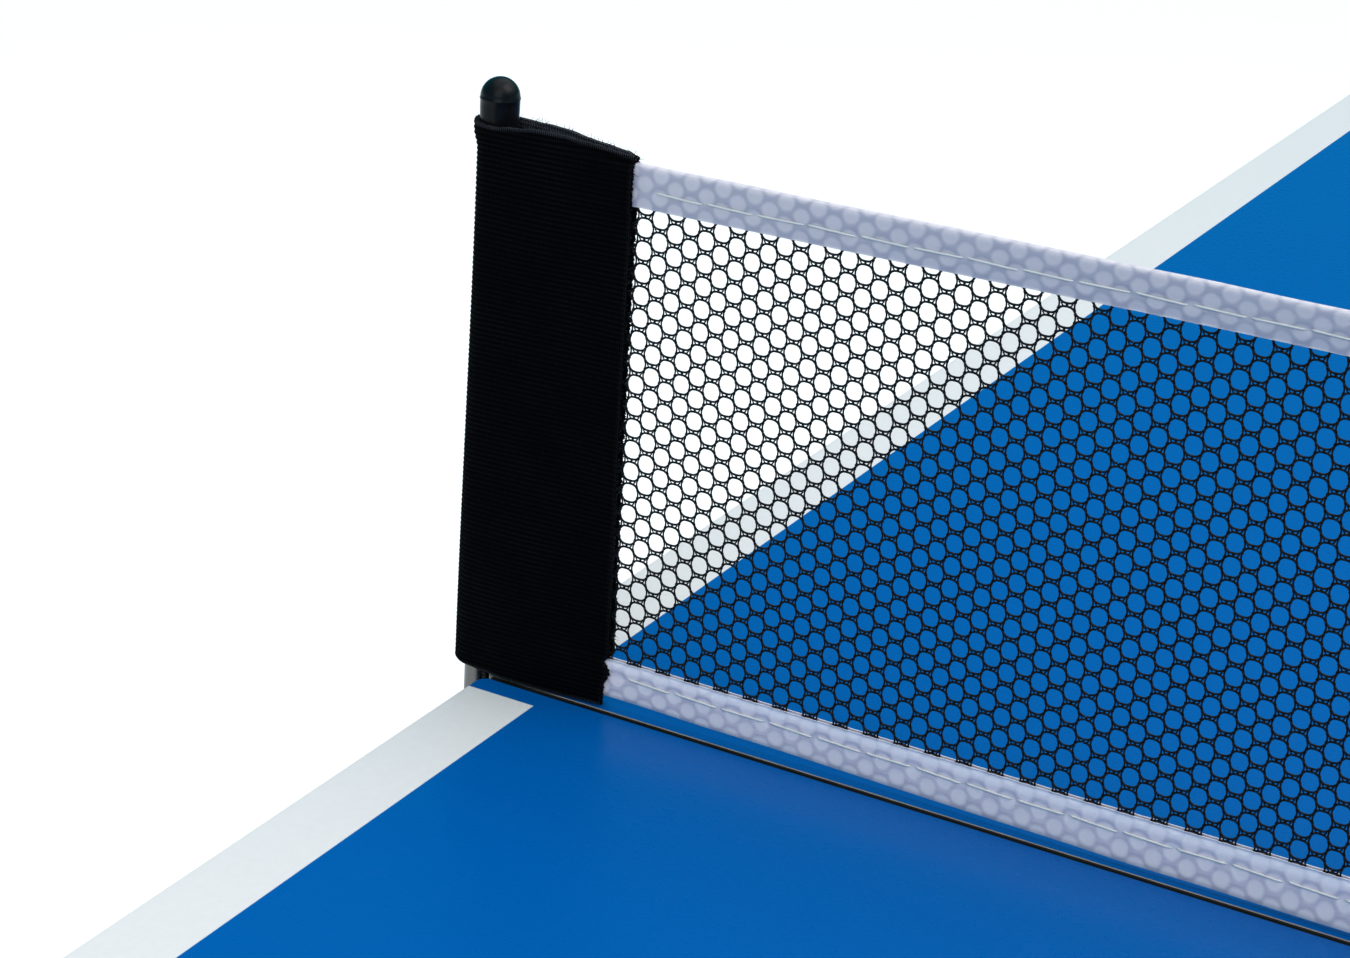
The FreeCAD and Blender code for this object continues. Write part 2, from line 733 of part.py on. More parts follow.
def make_net():
    low = "(table_height + net_bottom_gap)"
    node(net_band("BottomTape", low, f"({low} + tape_height)", "tape_thick"), "net_bottom_tape")
    node(net_band("TopTape", "(NET_TOP - tape_height)", "NET_TOP", "tape_thick"), "net_top_tape")
    mesh = net_band("NetMesh", f"({low} + tape_height)", "(NET_TOP - tape_height)", "net_mesh_thick")
    node(mesh, "net_mesh")


def sleeve_form(name, radius, end_y, half_end, low_z, high_z):
    """A drop-shaped prism: round about the post, narrowing to the net's end."""
    post = rod(name + "Round", ("post_offset", "POST_Y", low_z), "z", radius, f"{high_z} - ({low_z})")
    taper = bind(
        new("Part::Wedge", name + "Taper"),
        Ymin=end_y,
        Ymax="POST_Y",
        Zmin=low_z,
        Zmax=high_z,
        Z2min=low_z,
        Z2max=high_z,
        Xmin=f"net_offset - {half_end}",
        Xmax=f"net_offset + {half_end}",
        X2min=f"post_offset - {radius}",
        X2max=f"post_offset + {radius}",
    )
    return fuse(name, post, taper)


def make_sleeves():
    low = "(table_height + sleeve_above_table)"
    high = "(NET_TOP + sleeve_above_net)"
    skin = sleeve_form("SleeveSkin", "SLEEVE_RADIUS", "NET_HALF", "sleeve_end_thick / 2", low, high)
    room = sleeve_form("SleeveRoom", "(SLEEVE_RADIUS - sleeve_thick)", "(NET_HALF + sleeve_seam)", "0.4",
                       f"({low} - 1)", f"({high} + 1)")
    left = node(cut("SleeveLeft", skin, room), "left_post_sleeve")
    node(across("SleeveRight", left), "right_post_sleeve")


def make_posts():
    top = "(NET_TOP + post_above_net)"
    post = rod("PostLeft", ("post_offset", "POST_Y", "table_height - post_bottom_depth"), "z", "post_radius",
               f"{top} - table_height + post_bottom_depth")
    node(post, "left_net_post")
    node(across("PostRight", post), "right_net_post")

    crown = f"({top} + cap_top_thick - cap_radius)"
    skirt = rod("CapSkirt", ("post_offset", "POST_Y", f"{top} + cap_top_thick - cap_length"), "z", "cap_radius",
                "cap_length - cap_radius")
    dome = bind(new("Part::Sphere", "CapDome"), Radius="cap_radius")
    place(dome, ("post_offset", "POST_Y", crown))
    bore = rod("CapBore", ("post_offset", "POST_Y", f"{top} + cap_top_thick - cap_length - 1"), "z",
               "post_radius", "cap_length - cap_top_thick + 1")
    node(both_sides("PostCaps", cut("PostCap", fuse("CapSkin", skirt, dome), bore)), "post_caps")


def make_sockets():
    """A tube on an arm and a plate, screwed to the side rail, that a post drops into."""
    low = "(table_height - post_bottom_depth - socket_floor)"
    high = "(table_height - socket_top_depth)"
    middle = f"(({low} + {high}) / 2)"
    tube = rod("SocketTube", ("post_offset", "POST_Y", low), "z", "socket_radius", f"{high} - {low}")
    arm = box(
        "SocketArm",
        ("post_offset - socket_arm_half_width", "RAIL_OUT + 1", f"{middle} - socket_arm_height / 2"),
        ("2 * socket_arm_half_width", "POST_Y - RAIL_OUT - 1", "socket_arm_height"),
    )
    plate = box(
        "SocketPlate",
        ("joint_rail_inset", "RAIL_OUT", f"{middle} - socket_plate_height / 2"),
        ("socket_plate_length", "socket_plate_thick", "socket_plate_height"),
    )
    bore = rod("SocketBore", ("post_offset", "POST_Y", f"{low} + socket_floor"), "z",
               "post_radius + socket_clearance", f"{high} - {low}")
    screw_hole = rod("SocketScrewHole", ("post_offset", "POST_Y", "table_height - screw_depth"), "y",
                     "screw_radius + screw_clearance", "socket_radius + 2")
    socket = cut("Socket", fuse("SocketSkin", tube, arm, plate), bore, screw_hole)
    node(both_sides("Sockets", socket), "net_post_sockets")

    heads = []
    for number, at in enumerate(("joint_rail_inset + 22", "joint_rail_inset + 41")):
        dome = bind(new("Part::Cone", f"SocketScrewDome{number}"), Radius1="4.5", Radius2="3", Height="2.4")
        dome.Placement.Rotation = TURNS["y"]
        place(dome, (at, "RAIL_OUT + socket_plate_thick", middle))
        drive = new("Part::Prism", f"SocketScrewDrive{number}")
        drive.Polygon = 6
        bind(drive, Circumradius="1.6", Height="2")
        drive.Placement.Rotation = TURNS["y"]
        place(drive, (at, "RAIL_OUT + socket_plate_thick + 1", middle))
        heads.append(cut(f"SocketScrew{number}", dome, drive))
    node(both_sides("SocketScrews", group("SocketScrewRow", *heads)), "socket_screws")


def make_thumbscrews():
    """A lobed knob on a short screw. The knob is drawn flat, then stood against the socket."""
    knob = new("PartDesign::Body", "Knob")
    core_sketch = knob.newObject("Sketcher::SketchObject", "KnobCore")
    core_sketch.AttachmentSupport = [([f for f in knob.Origin.OriginFeatures if f.Role == "XY_Plane"][0], "")]
    core_sketch.MapMode = "FlatFace"
    core_sketch.addGeometry(Part.Circle(Vector(0, 0, 0), Vector(0, 0, 1), value("knob_core_radius")), False)
    core_sketch.addConstraint(Sketcher.Constraint("Coincident", 0, 3, -1, 1))
    radius = core_sketch.addConstraint(Sketcher.Constraint("Radius", 0, value("knob_core_radius")))
    core_sketch.setExpression(f"Constraints[{radius}]", expression("knob_core_radius"))
    core = knob.newObject("PartDesign::Pad", "KnobCorePad")
    core.Profile = core_sketch
    core.setExpression("Length", expression("knob_thick"))

    lobe_sketch = knob.newObject("Sketcher::SketchObject", "KnobLobe")
    lobe_sketch.AttachmentSupport = core_sketch.AttachmentSupport
    lobe_sketch.MapMode = "FlatFace"
    centre = Vector(value("knob_core_radius"), 0, 0)
    lobe_sketch.addGeometry(Part.Circle(centre, Vector(0, 0, 1), value("knob_lobe_radius")), False)
    lobe_sketch.addConstraint(Sketcher.Constraint("PointOnObject", 0, 3, -1))
    for kind, place_of, size in (
        ("DistanceX", (-1, 1, 0, 3), "knob_core_radius"),
        ("Radius", (0,), "knob_lobe_radius"),
    ):
        added = lobe_sketch.addConstraint(Sketcher.Constraint(kind, *place_of, value(size)))
        lobe_sketch.setExpression(f"Constraints[{added}]", expression(size))
    lobe = knob.newObject("PartDesign::Pad", "KnobLobePad")
    lobe.Profile = lobe_sketch
    lobe.setExpression("Length", expression("knob_thick"))
    doc.recompute()
    ring = knob.newObject("PartDesign::PolarPattern", "KnobLobes")
    ring.Originals = [lobe]
    ring.Axis = (lobe_sketch, ["N_Axis"])
    ring.Angle = 360
    ring.Occurrences = SIZES["knob_lobes"]
    knob.Tip = ring
    knob.Placement.Rotation = TURNS["y"]
    face_y = "POST_Y + socket_radius + knob_stand_off"
    place(knob, ("post_offset", face_y, "table_height - screw_depth"))

    tip_y = "POST_Y + post_radius + screw_tip_gap"
    shank = rod("ThumbscrewShank", ("post_offset", tip_y, "table_height - screw_depth"), "y", "screw_radius",
                f"{face_y} + 2 - ({tip_y})")
    left = node(fuse("ThumbscrewLeft", knob, shank), "left_post_thumbscrew")
    node(across("ThumbscrewRight", left), "right_post_thumbscrew")


# ---------------------------------------------------------------- build, test and write


def check_and_write():
    doc.recompute()
    for obj in doc.Objects:
        faults = [state for state in obj.State if state in ("Invalid", "Error")]
        if faults:
            raise RuntimeError(f"{obj.Name} ({obj.Label}) is {faults}: {obj.getStatusString()}")
    os.makedirs("parts", exist_ok=True)
    for label, obj in sorted(nodes.items()):
        shape = obj.Shape
        if shape.isNull() or not shape.isValid() or not shape.Solids:
            raise RuntimeError(f"{label} has no valid solid")
        shape.exportStep(os.path.join("parts", label + ".step"))
        print(f"{label:32s} {len(shape.Solids)} solids {shape.Volume / 1000:10.2f} cm3")
    upper, lower = value("UPPER_STAY"), value("LOWER_STAY")
    angle = math.degrees(math.atan2(value("stay_drop"), value("stay_run")))
    print(f"{len(nodes)} nodes; stays {upper:.3f} and {lower:.3f} mm, at {angle:.4f} degrees")


def build():
    make_top()
    make_rails()
    make_rail_caps()
    make_corner_plates()
    make_legs()
    make_dowels()
    make_handles()
    make_net()
    make_sleeves()
    make_posts()
    make_sockets()
    make_thumbscrews()
    check_and_write()


build()
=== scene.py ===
"""Dresses a mid-size table tennis table and builds its net, tapes, sleeves and stage."""

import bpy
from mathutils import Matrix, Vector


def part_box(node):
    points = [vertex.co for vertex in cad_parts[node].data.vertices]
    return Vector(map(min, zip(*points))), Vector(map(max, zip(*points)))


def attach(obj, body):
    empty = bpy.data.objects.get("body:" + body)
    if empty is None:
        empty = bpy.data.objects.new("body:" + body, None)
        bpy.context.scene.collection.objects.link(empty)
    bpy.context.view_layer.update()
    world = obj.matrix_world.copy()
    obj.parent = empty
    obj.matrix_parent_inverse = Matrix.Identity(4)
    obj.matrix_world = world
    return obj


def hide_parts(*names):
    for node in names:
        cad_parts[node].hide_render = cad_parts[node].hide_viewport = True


bl_info = {
    "name": "Table tennis table",
    "version": (1, 0, 0),
    "blender": (4, 5, 0),
    "location": "3D View > Sidebar > Table tennis",
    "description": "Dresses the packed table and builds its net, tapes, sleeves and stage",
    "category": "Object",
}

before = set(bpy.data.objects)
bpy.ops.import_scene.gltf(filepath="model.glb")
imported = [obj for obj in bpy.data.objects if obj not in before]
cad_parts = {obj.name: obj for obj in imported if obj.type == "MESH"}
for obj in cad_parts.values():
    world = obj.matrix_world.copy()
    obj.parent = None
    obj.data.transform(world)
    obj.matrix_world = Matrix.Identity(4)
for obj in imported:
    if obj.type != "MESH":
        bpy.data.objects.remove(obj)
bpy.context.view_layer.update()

import math

import bpy
import numpy as np
from bpy.props import FloatProperty, FloatVectorProperty, PointerProperty
from bpy.types import Operator, Panel, PropertyGroup
from mathutils import Matrix, Vector

HALVES = ("net_half", "plain_half")
FRAMES = ("outer", "inner")
SIDES = (("left", 1), ("right", -1))
SEEDS = {"left": 11, "right": 12}
WHITE = (1.0, 1.0, 1.0)

# ---------------- where the frame's pieces are


def low(node):
    return [float(each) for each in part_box(node)[0]]


def high(node):
    return [float(each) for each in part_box(node)[1]]


def middle(node):
    return [(a + b) / 2 for a, b in zip(low(node), high(node))]


TOP_Z = high("net_half_playing_surface")[2]
TABLE_END = high("net_half_outer_band")[0]
TABLE_SIDE = high("net_half_outer_band")[1]
NET_X = middle("net_mesh")[0]
NET_END = high("net_mesh")[1]
TAPE_LOW = low("net_bottom_tape")[2]
TAPE_TOP = high("net_top_tape")[2]
MESH_LOW = low("net_mesh")[2]
MESH_HIGH = high("net_mesh")[2]
POST_X, POST_Y = middle("left_net_post")[:2]

# Each tape: its name, where it begins and ends, and the share of its height where its seam runs.
TAPES = (("top", MESH_HIGH, TAPE_TOP, 0.40), ("bottom", TAPE_LOW, MESH_LOW, 0.62))
# How far the net stands above its flat place at its four levels, by the sleeves and in the middle.
LEVELS = (TAPE_LOW, MESH_LOW, MESH_HIGH, TAPE_TOP)
GATHERED = (0.0022, 0.0012, -0.0002, -0.0008)
SPREAD = (-0.0003, 0.0019, 0.0028, 0.0010)
# How far from a hole's centre the threads round it begin and are in full under a tape.
THREAD_REACH = (0.0020, 0.0029)
# Sideways places of the ties between doubled threads: where each leaves one and meets the other.
TIES = ((-0.00042, 0.00042), (0.00042, -0.00042), (-0.0009, -0.0015), (0.0009, 0.0015))
# A sleeve's edges, in millimetres above their level place, at shares of the way from the post to the net.
MOUTH_FRONT = ((0, -1.2), (0.03, -1.3), (0.19, -0.5), (0.35, 0.2), (0.52, 0.0), (0.64, -0.6), (1, -1.9))
MOUTH_BACK = (
    (0, -1.2), (0.2, -1.1), (0.35, -0.6), (0.5, -0.4), (0.64, -0.8), (0.75, -1.0), (0.93, -1.6), (1, -2.6)
)
HEM_FRONT = ((0, 0.9), (0.12, 0.5), (0.3, -0.2), (0.6, -0.4), (1, 0.0))
# How far the sleeve's edge by the net strays, in millimetres, at heights.
RAGGED = (
    (0.7635, 0.2), (0.7665, 0.2), (0.7700, -1.3), (0.7716, -0.9),
    (0.7735, 0.2), (0.7755, -0.9), (0.80, -0.5), (0.86, -0.2),
)


def colour(name, description, default):
    return FloatVectorProperty(
        name=name, description=description, default=default, subtype="COLOR", size=3, min=0, max=1
    )


def length(name, description, default):
    return FloatProperty(name=name, description=description, default=default, unit="LENGTH", precision=5)


def power(name, description, default):
    return FloatProperty(name=name, description=description, default=default, unit="POWER")


def angle(name, description, degrees):
    return FloatProperty(name=name, description=description, default=math.radians(degrees), subtype="ANGLE")


# ---------------- sizes and colours a user may change


class TopFinish(PropertyGroup):
    """The playing surface, its lines, its board and its edge bands"""

    blue: colour("Laminate", "The playing surface's blue", (0.0, 0.075, 0.285))
    line: colour("Lines", "The painted lines", (0.59, 0.57, 0.565))
    line_width: length("Line width", "Width of the side and end lines", 0.021)
    line_gap: length("Line gap", "From the joint to where the side lines stop", 0.0078)
    centre_line: length("Centre line", "Width of the line down the middle", 0.003)
    board: colour("Board", "The pressed fibre board under the laminate", (0.36, 0.245, 0.145))
    band: colour("Edge band", "The plastic band round the board", (0.0045, 0.0045, 0.0045))


class NetSizes(PropertyGroup):
    """The knitted net"""

    column: length("Column spacing", "From one column of holes to the next, along the net", 0.00437)
    row: length("Row spacing", "From one hole to the next in a column", 0.00608)
    thread: length("Thread", "Diameter of a thread of the net", 0.00062)
    tie: length("Tie", "Diameter of the short ties between doubled threads", 0.0004)
    ring: length("Ring", "Diameter of the loops that close the sides of each hole", 0.0005)
    gap: length("Gap", "Between the middles of two doubled threads", 0.00086)
    climb: length("Climb", "From the bottom tape up to the first doubled threads", 0.0006)
    slack: length("Slack", "How far from the posts the tapes are pulled out of line", 0.24)
    thread_colour: colour("Thread colour", "The net's black thread", (0.0045, 0.005, 0.0065))


class TapeSizes(PropertyGroup):
    """The two tapes sewn along the net"""

    half_thick: length("Half thickness", "From the net's plane to a tape's face", 0.00115)
    cloth: length("Cloth", "Thickness of the folded tape's cloth", 0.0003)
    relief: length("Relief", "How far the net inside lifts the cloth", 0.00022)
    stitch: length("Stitch", "Length of one stitch", 0.0134)
    stitch_gap: length("Stitch gap", "From one stitch to the next", 0.0007)
    stitch_thread: length("Stitching thread", "Diameter of the thread", 0.00056)
    cloth_colour: colour("Tape", "The pale cloth between the threads of the net", (0.60, 0.52, 0.585))
    shade_colour: colour("Tape over threads", "The cloth where the net shows through", (0.36, 0.33, 0.42))
    # The fold's colour is a painted highlight along each tape's folded edge.
    fold_highlight_colour: colour("Fold", "The cloth at the bright folded edge", (0.62, 0.56, 0.62))
    selvedge_colour: colour("Selvedge", "The woven edge next to the mesh", (0.62, 0.60, 0.68))
    stitch_colour: colour("Stitching", "The sewing thread", (0.66, 0.62, 0.60))


class SleeveSizes(PropertyGroup):
    """The ribbed sleeves round the net posts"""

    cloth: length("Cloth", "Thickness of the ribbed cloth", 0.0010)
    rib_pitch: length("Rib pitch", "From one rib to the next", 0.00135)
    rib_depth: length("Rib depth", "How far a rib stands out", 0.00034)
    fray: length("Fray", "Length of the loose fibres on a cut edge", 0.0012)
    black: colour("Cloth colour", "The black cloth", (0.0009, 0.0009, 0.0014))


class HardwareFinish(PropertyGroup):
    """Metal, plastic and rubber"""

    paint: colour("Painted steel", "Powder coat on rails and legs", (0.022, 0.023, 0.025))
    zinc: colour("Zinc", "Plated brackets, stays and bolts", (0.60, 0.61, 0.60))
    chrome: colour("Chrome", "The net posts", (0.13, 0.125, 0.122))
    plastic: colour("Plastic", "Caps, knobs and handles", (0.018, 0.018, 0.019))
    rubber: colour("Rubber", "Feet", (0.020, 0.020, 0.021))
    vinyl: colour("Vinyl", "The caps on the net posts", (0.0035, 0.0037, 0.0045))


class StageSizes(PropertyGroup):
    """The floor, the lights and the camera"""

    floor: colour("Floor", "The pale floor", (0.985, 0.95, 0.94))
    floor_size: length("Floor size", "Side of the square floor", 60.0)
    key_power: power("Key light", "Power of the softbox behind the camera", 62)
    side_power: power("Side light", "Power of the softbox over the net", 52)
    sky: FloatProperty(name="Sky", description="Brightness of the studio round the table", default=1.90)
    low_sky: colour("Low sky", "The blue-green that the laminate mirrors", (0.0, 0.165, 0.235))
    camera: FloatVectorProperty(
        name="Camera",
        description="Where the camera stands",
        default=(-0.6202, 0.0764, 1.1210),
        unit="LENGTH",
        precision=4,
    )
    heading: angle("Heading", "The camera's turn about the upright axis", -62.29)
    dip: angle("Dip", "How far the camera looks down", 22.41)
    roll: angle("Roll", "The camera's turn about its own axis", 3.67)
    lens: FloatProperty(name="Lens", description="Focal length in mm on a 36 mm sensor", default=78.83)


# ---------------- material nodes


class Nodes:
    """Short calls that add nodes to a tree and link them."""

    def __init__(self, tree):
        self.tree = tree

    def feed(self, socket, given):
        if isinstance(given, bpy.types.NodeSocket):
            self.tree.links.new(given, socket)
        elif socket.type == "RGBA":
            socket.default_value = (*given[:3], 1)
        else:
            socket.default_value = given

    def node(self, kind, feeds=None, **settings):
        made = self.tree.nodes.new(kind)
        for name, setting in settings.items():
            setattr(made, name, setting)
        for key, given in (feeds or {}).items():
            self.feed(made.inputs[key], given)
        return made

    def blend(self, factor, a, b):
        mix = self.node("ShaderNodeMix", data_type="RGBA")
        for index, given in ((0, factor), (6, a), (7, b)):
            self.feed(mix.inputs[index], given)
        return mix.outputs[2]


class Finish(Nodes):
    """A material with short calls for the nodes that this table's finishes need."""

    def __init__(self, name):
        self.material = bpy.data.materials.new(name)
        self.material.use_nodes = True
        super().__init__(self.material.node_tree)
        self.shader = self.tree.nodes["Principled BSDF"]
        self.place = self.node("ShaderNodeTexCoord").outputs["Object"]

    def work(self, operation, a, b=0.0):
        return self.node("ShaderNodeMath", {0: a, 1: b}, operation=operation).outputs[0]

    def times(self, a, b):
        return self.work("MULTIPLY", a, b)

    def plus(self, a, b):
        return self.work("ADD", a, b)

    def minus(self, a, b):
        return self.work("SUBTRACT", a, b)

    def axes(self, of=None):
        return self.node("ShaderNodeSeparateXYZ", {0: of or self.place}).outputs

    def attribute(self, name, output="Fac"):
        return self.node("ShaderNodeAttribute", attribute_name=name).outputs[output]

    def stretched(self, *factors):
        """The object's own coordinates, stretched along each axis."""
        return self.node("ShaderNodeVectorMath", {0: self.place, 1: factors}, operation="MULTIPLY").outputs[0]

    def noise(self, scale, detail=3.0, roughness=0.55, at=None, distortion=0.0):
        feeds = {"Vector": at or self.place, "Scale": scale, "Detail": detail}
        feeds |= {"Roughness": roughness, "Distortion": distortion}
        return self.node("ShaderNodeTexNoise", feeds).outputs["Fac"]

    def cells(self, scale, at=None, output="Distance"):
        return self.node("ShaderNodeTexVoronoi", {"Vector": at or self.place, "Scale": scale}).outputs[output]

    def wave(self, direction, scale, distortion, detail_scale=1.0, at=None):
        feeds = {"Vector": at or self.place, "Scale": scale, "Distortion": distortion}
        feeds |= {"Detail": 2.0, "Detail Scale": detail_scale}
        made = self.node("ShaderNodeTexWave", feeds, wave_type="BANDS", bands_direction=direction)
        return made.outputs["Fac"]

    def spread(self, given, from_low, from_high, to_low=0.0, to_high=1.0, smooth=False):
        kind = "SMOOTHSTEP" if smooth else "LINEAR"
        feeds = {0: given, 1: from_low, 2: from_high, 3: to_low, 4: to_high}
        return self.node("ShaderNodeMapRange", feeds, interpolation_type=kind).outputs[0]

    def mottled(self, factor, base, dark, light):
        """A colour that goes from a darker to a lighter version of itself."""
        return self.blend(factor, *tones(base, dark, light))

    def relief(self, height, distance, strength=1.0, over=None):
        feeds = {"Height": height, "Distance": distance, "Strength": strength}
        if over is not None:
            feeds["Normal"] = over
        return self.node("ShaderNodeBump", feeds).outputs[0]

    def set(self, shade, rough, bump=None, **sockets):
        """Feeds the shader's sockets, named with underscores for spaces."""
        sockets |= {"Base_Color": shade, "Roughness": rough}
        if bump:
            sockets["Normal"] = bump
        for name, given in sockets.items():
            self.feed(self.shader.inputs[name.replace("_", " ")], given)
        return self.material


def tones(base, dark, light):
    """Darker and lighter versions of a colour."""
    base = list(base)
    return [channel * dark for channel in base], [min(1.0, channel * light) for channel in base]


def laminate(top):
    """Satin laminate with its painted lines."""
    look = Finish("blue_laminate")
    axes = look.axes()
    along = look.work("ABSOLUTE", axes[0])
    across = look.work("ABSOLUTE", axes[1])
    blur = 0.00012

    def past(distance, edge):
        return look.spread(distance, edge - blur, edge + blur)

    side = past(across, TABLE_SIDE - top.line_width)
    end = past(along, TABLE_END - top.line_width)
    middle = look.minus(1.0, past(across, top.centre_line / 2))
    lines = look.work("MAXIMUM", look.work("MAXIMUM", side, end), middle)
    lines = look.times(lines, past(along, top.line_gap))
    cloud = look.noise(3.1, 2)
    grain = look.noise(420, 4, 0.65)
    scuffs = look.noise(26, 6, 0.72, at=look.stretched(1.0, 5.0, 1.0), distortion=0.6)
    scuffed = look.spread(scuffs, 0.62, 0.74)
    blue = look.mottled(cloud, top.blue, 0.955, 1.045)
    paint = look.mottled(look.spread(grain, 0.3, 0.7), top.line, 0.975, 1.015)
    shade = look.blend(lines, blue, paint)
    shade = look.blend(look.times(scuffed, 0.008), shade, (0.3, 0.45, 0.6))
    smooth = look.spread(grain, 0.25, 0.75, 0.26, 0.30)
    gloss = look.plus(smooth, look.times(scuffed, 0.04))
    gloss = look.plus(gloss, look.times(lines, 0.12))
    peel = look.relief(look.noise(640, 2, 0.5), 0.00002, 0.15)
    film = look.relief(lines, 0.00004, 0.6, over=peel)
    return look.set(shade, gloss, film, IOR=1.45, Specular_IOR_Level=0.17, Specular_Tint=(0.0, 0.5, 1.0))


def fibre_board(base):
    """Pressed fibre board: fine pale and dark fibres."""
    look = Finish("fibre_board")
    dark, light = tones(base, 0.62, 1.35)
    fibres = look.noise(700, 5, 0.7, at=look.stretched(1.0, 0.35, 1.0))
    flecks = look.cells(900)
    cloud = look.noise(6, 3)
    mix = look.plus(look.times(fibres, 0.7), look.times(cloud, 0.3))
    shade = look.blend(look.spread(mix, 0.32, 0.68), dark, light)
    shade = look.blend(look.spread(flecks, 0.0, 0.22, 0.5, 0.0), shade, dark)
    rough = look.spread(fibres, 0.3, 0.7, 0.62, 0.85)
    return look.set(shade, rough, look.relief(fibres, 0.00012, 0.6))


def moulded(name, base, gloss, grain_scale=1500, depth=0.00005, shine=0.5):
    """Moulded plastic with a fine grain, a little polished where it is handled."""
    look = Finish(name)
    grain = look.cells(grain_scale)
    cloud = look.noise(38, 4, 0.6)
    shade = look.mottled(look.spread(cloud, 0.3, 0.75), base, 0.7, 1.7)
    polish = look.spread(look.noise(90, 5, 0.65), 0.3, 0.75, gloss - 0.07, gloss + 0.1)
    return look.set(shade, polish, look.relief(grain, depth, 0.7), Specular_IOR_Level=shine)


def joint_band(top):
    """The joint's band: matt black plastic, a pale painted highlight line along the net half's band, and blue
    on the other's rim.
    """
    look = Finish("joint_edge_band")
    across = look.axes()[0]
    grain = look.cells(2200)
    cloud = look.noise(140, 4, 0.6)
    shade = look.mottled(look.spread(cloud, 0.3, 0.75), top.band, 0.5, 1.6)
    # A pale beige line painted on the net half's band stands in for the highlight on its rounded edge.
    edge_highlight_span, blue_rim = (0.00076, 0.00086), (-0.00108, -0.00116)
    edge_highlight = look.spread(across, *edge_highlight_span)
    patchy = look.times(edge_highlight, look.spread(cloud, 0.25, 0.6, 0.7, 1.0))
    shade = look.blend(patchy, shade, (0.30, 0.24, 0.20))
    shade = look.blend(look.spread(across, *blue_rim), shade, tuple(top.blue))
    rough = look.spread(cloud, 0.3, 0.75, 0.5, 0.65)
    return look.set(shade, rough, look.relief(grain, 0.00002, 0.7), Specular_IOR_Level=0.12)


def painted_band(top):
    """The outer band: black plastic whose top rim carries the paint of the lines and the laminate's blue."""
    look = Finish("outer_edge_band")
    axes = look.axes()
    along = look.work("ABSOLUTE", axes[0])
    blur, painted = 0.0001, TOP_Z - 0.0010
    rim = look.spread(axes[2], painted - blur, painted + blur)
    past_gap = look.spread(along, top.line_gap - blur, top.line_gap + blur)
    cloud = look.noise(38, 4, 0.6)
    grain = look.cells(2200)
    plastic = look.mottled(look.spread(cloud, 0.3, 0.75), top.band, 0.7, 1.7)
    paint = look.mottled(cloud, top.line, 0.975, 1.015)
    shade = look.blend(rim, plastic, look.blend(past_gap, tuple(top.blue), paint))
    rough = look.spread(cloud, 0.3, 0.75, 0.34, 0.46)
    return look.set(shade, rough, look.relief(grain, 0.00002, 0.7))


def powder_coat(base):
    """Painted steel with the fine peel of powder coat and a few rubbed places."""
    look = Finish("powder_coat")
    peel = look.noise(1900, 2, 0.5)
    cloud = look.noise(14, 4, 0.6)
    rub = look.noise(55, 6, 0.75, at=look.stretched(1.0, 1.0, 0.25), distortion=0.8)
    rubbed = look.spread(rub, 0.66, 0.75)
    shade = look.mottled(look.spread(cloud, 0.3, 0.7), base, 0.8, 1.35)
    shade = look.blend(look.times(rubbed, 0.35), shade, (0.11, 0.11, 0.12))
    gloss = look.spread(peel, 0.25, 0.75, 0.34, 0.46)
    gloss = look.minus(gloss, look.times(rubbed, 0.08))
    bump = look.relief(peel, 0.00006, 0.55)
    return look.set(shade, gloss, bump, Coat_Weight=0.12)


def plated(name, base, gloss=0.3):
    """Zinc plate: soft crystals, fine drawing lines and dull patches."""
    look = Finish(name)
    crystals = look.cells(210, output="Color")
    tone = look.node("ShaderNodeSeparateColor", {0: crystals}).outputs[0]
    drawn = look.noise(160, 4, 0.6, at=look.stretched(0.08, 6.0, 6.0))
    dull = look.noise(30, 5, 0.6)
    mix = look.plus(look.times(tone, 0.45), look.times(dull, 0.55))
    shade = look.mottled(look.spread(mix, 0.2, 0.8), base, 0.66, 1.12)
    rough = look.spread(look.plus(tone, dull), 0.4, 1.6, gloss - 0.08, gloss + 0.2)
    bump = look.relief(drawn, 0.00003, 0.35)
    return look.set(shade, rough, bump, Metallic=1.0)


def polished_rod(base):
    """Chromed rod with faint rings of drawing marks."""
    look = Finish("chrome_rod")
    rings = look.noise(900, 3, 0.6, at=look.stretched(0.05, 0.05, 1.0))
    haze = look.noise(70, 4, 0.6)
    shade = look.mottled(haze, base, 0.88, 1.08)
    rough = look.spread(haze, 0.3, 0.7, 0.22, 0.32)
    bump = look.relief(rings, 0.000012, 0.3)
    return look.set(shade, rough, bump, Metallic=1.0)


def rubber(base):
    """Matt rubber with dust in its grain."""
    look = Finish("black_rubber")
    dust = look.noise(120, 6, 0.7)
    grain = look.noise(1600, 3, 0.6)
    shade = look.mottled(look.spread(dust, 0.42, 0.72), base, 0.75, 1.9)
    rough = look.spread(dust, 0.3, 0.7, 0.68, 0.88)
    return look.set(shade, rough, look.relief(grain, 0.00006, 0.6))


def twisted_thread(name, base, turns=1500, gloss=0.55, deep=0.6, pale=1.8, shine=0.5):
    """Thread: fine plies wound along it."""
    look = Finish(name)
    plies = look.wave("DIAGONAL", turns / 6.28, 2.5, at=look.stretched(1.0, 1.0, 0.8))
    shade = look.mottled(plies, base, deep, pale)
    rough = look.spread(plies, 0.0, 1.0, gloss + 0.08, gloss - 0.08)
    return look.set(
        shade, rough, look.relief(plies, 0.00004, 0.7),
        Specular_IOR_Level=shine,
        Sheen_Weight=0.16 * shine,
        Sheen_Roughness=0.5,
    )


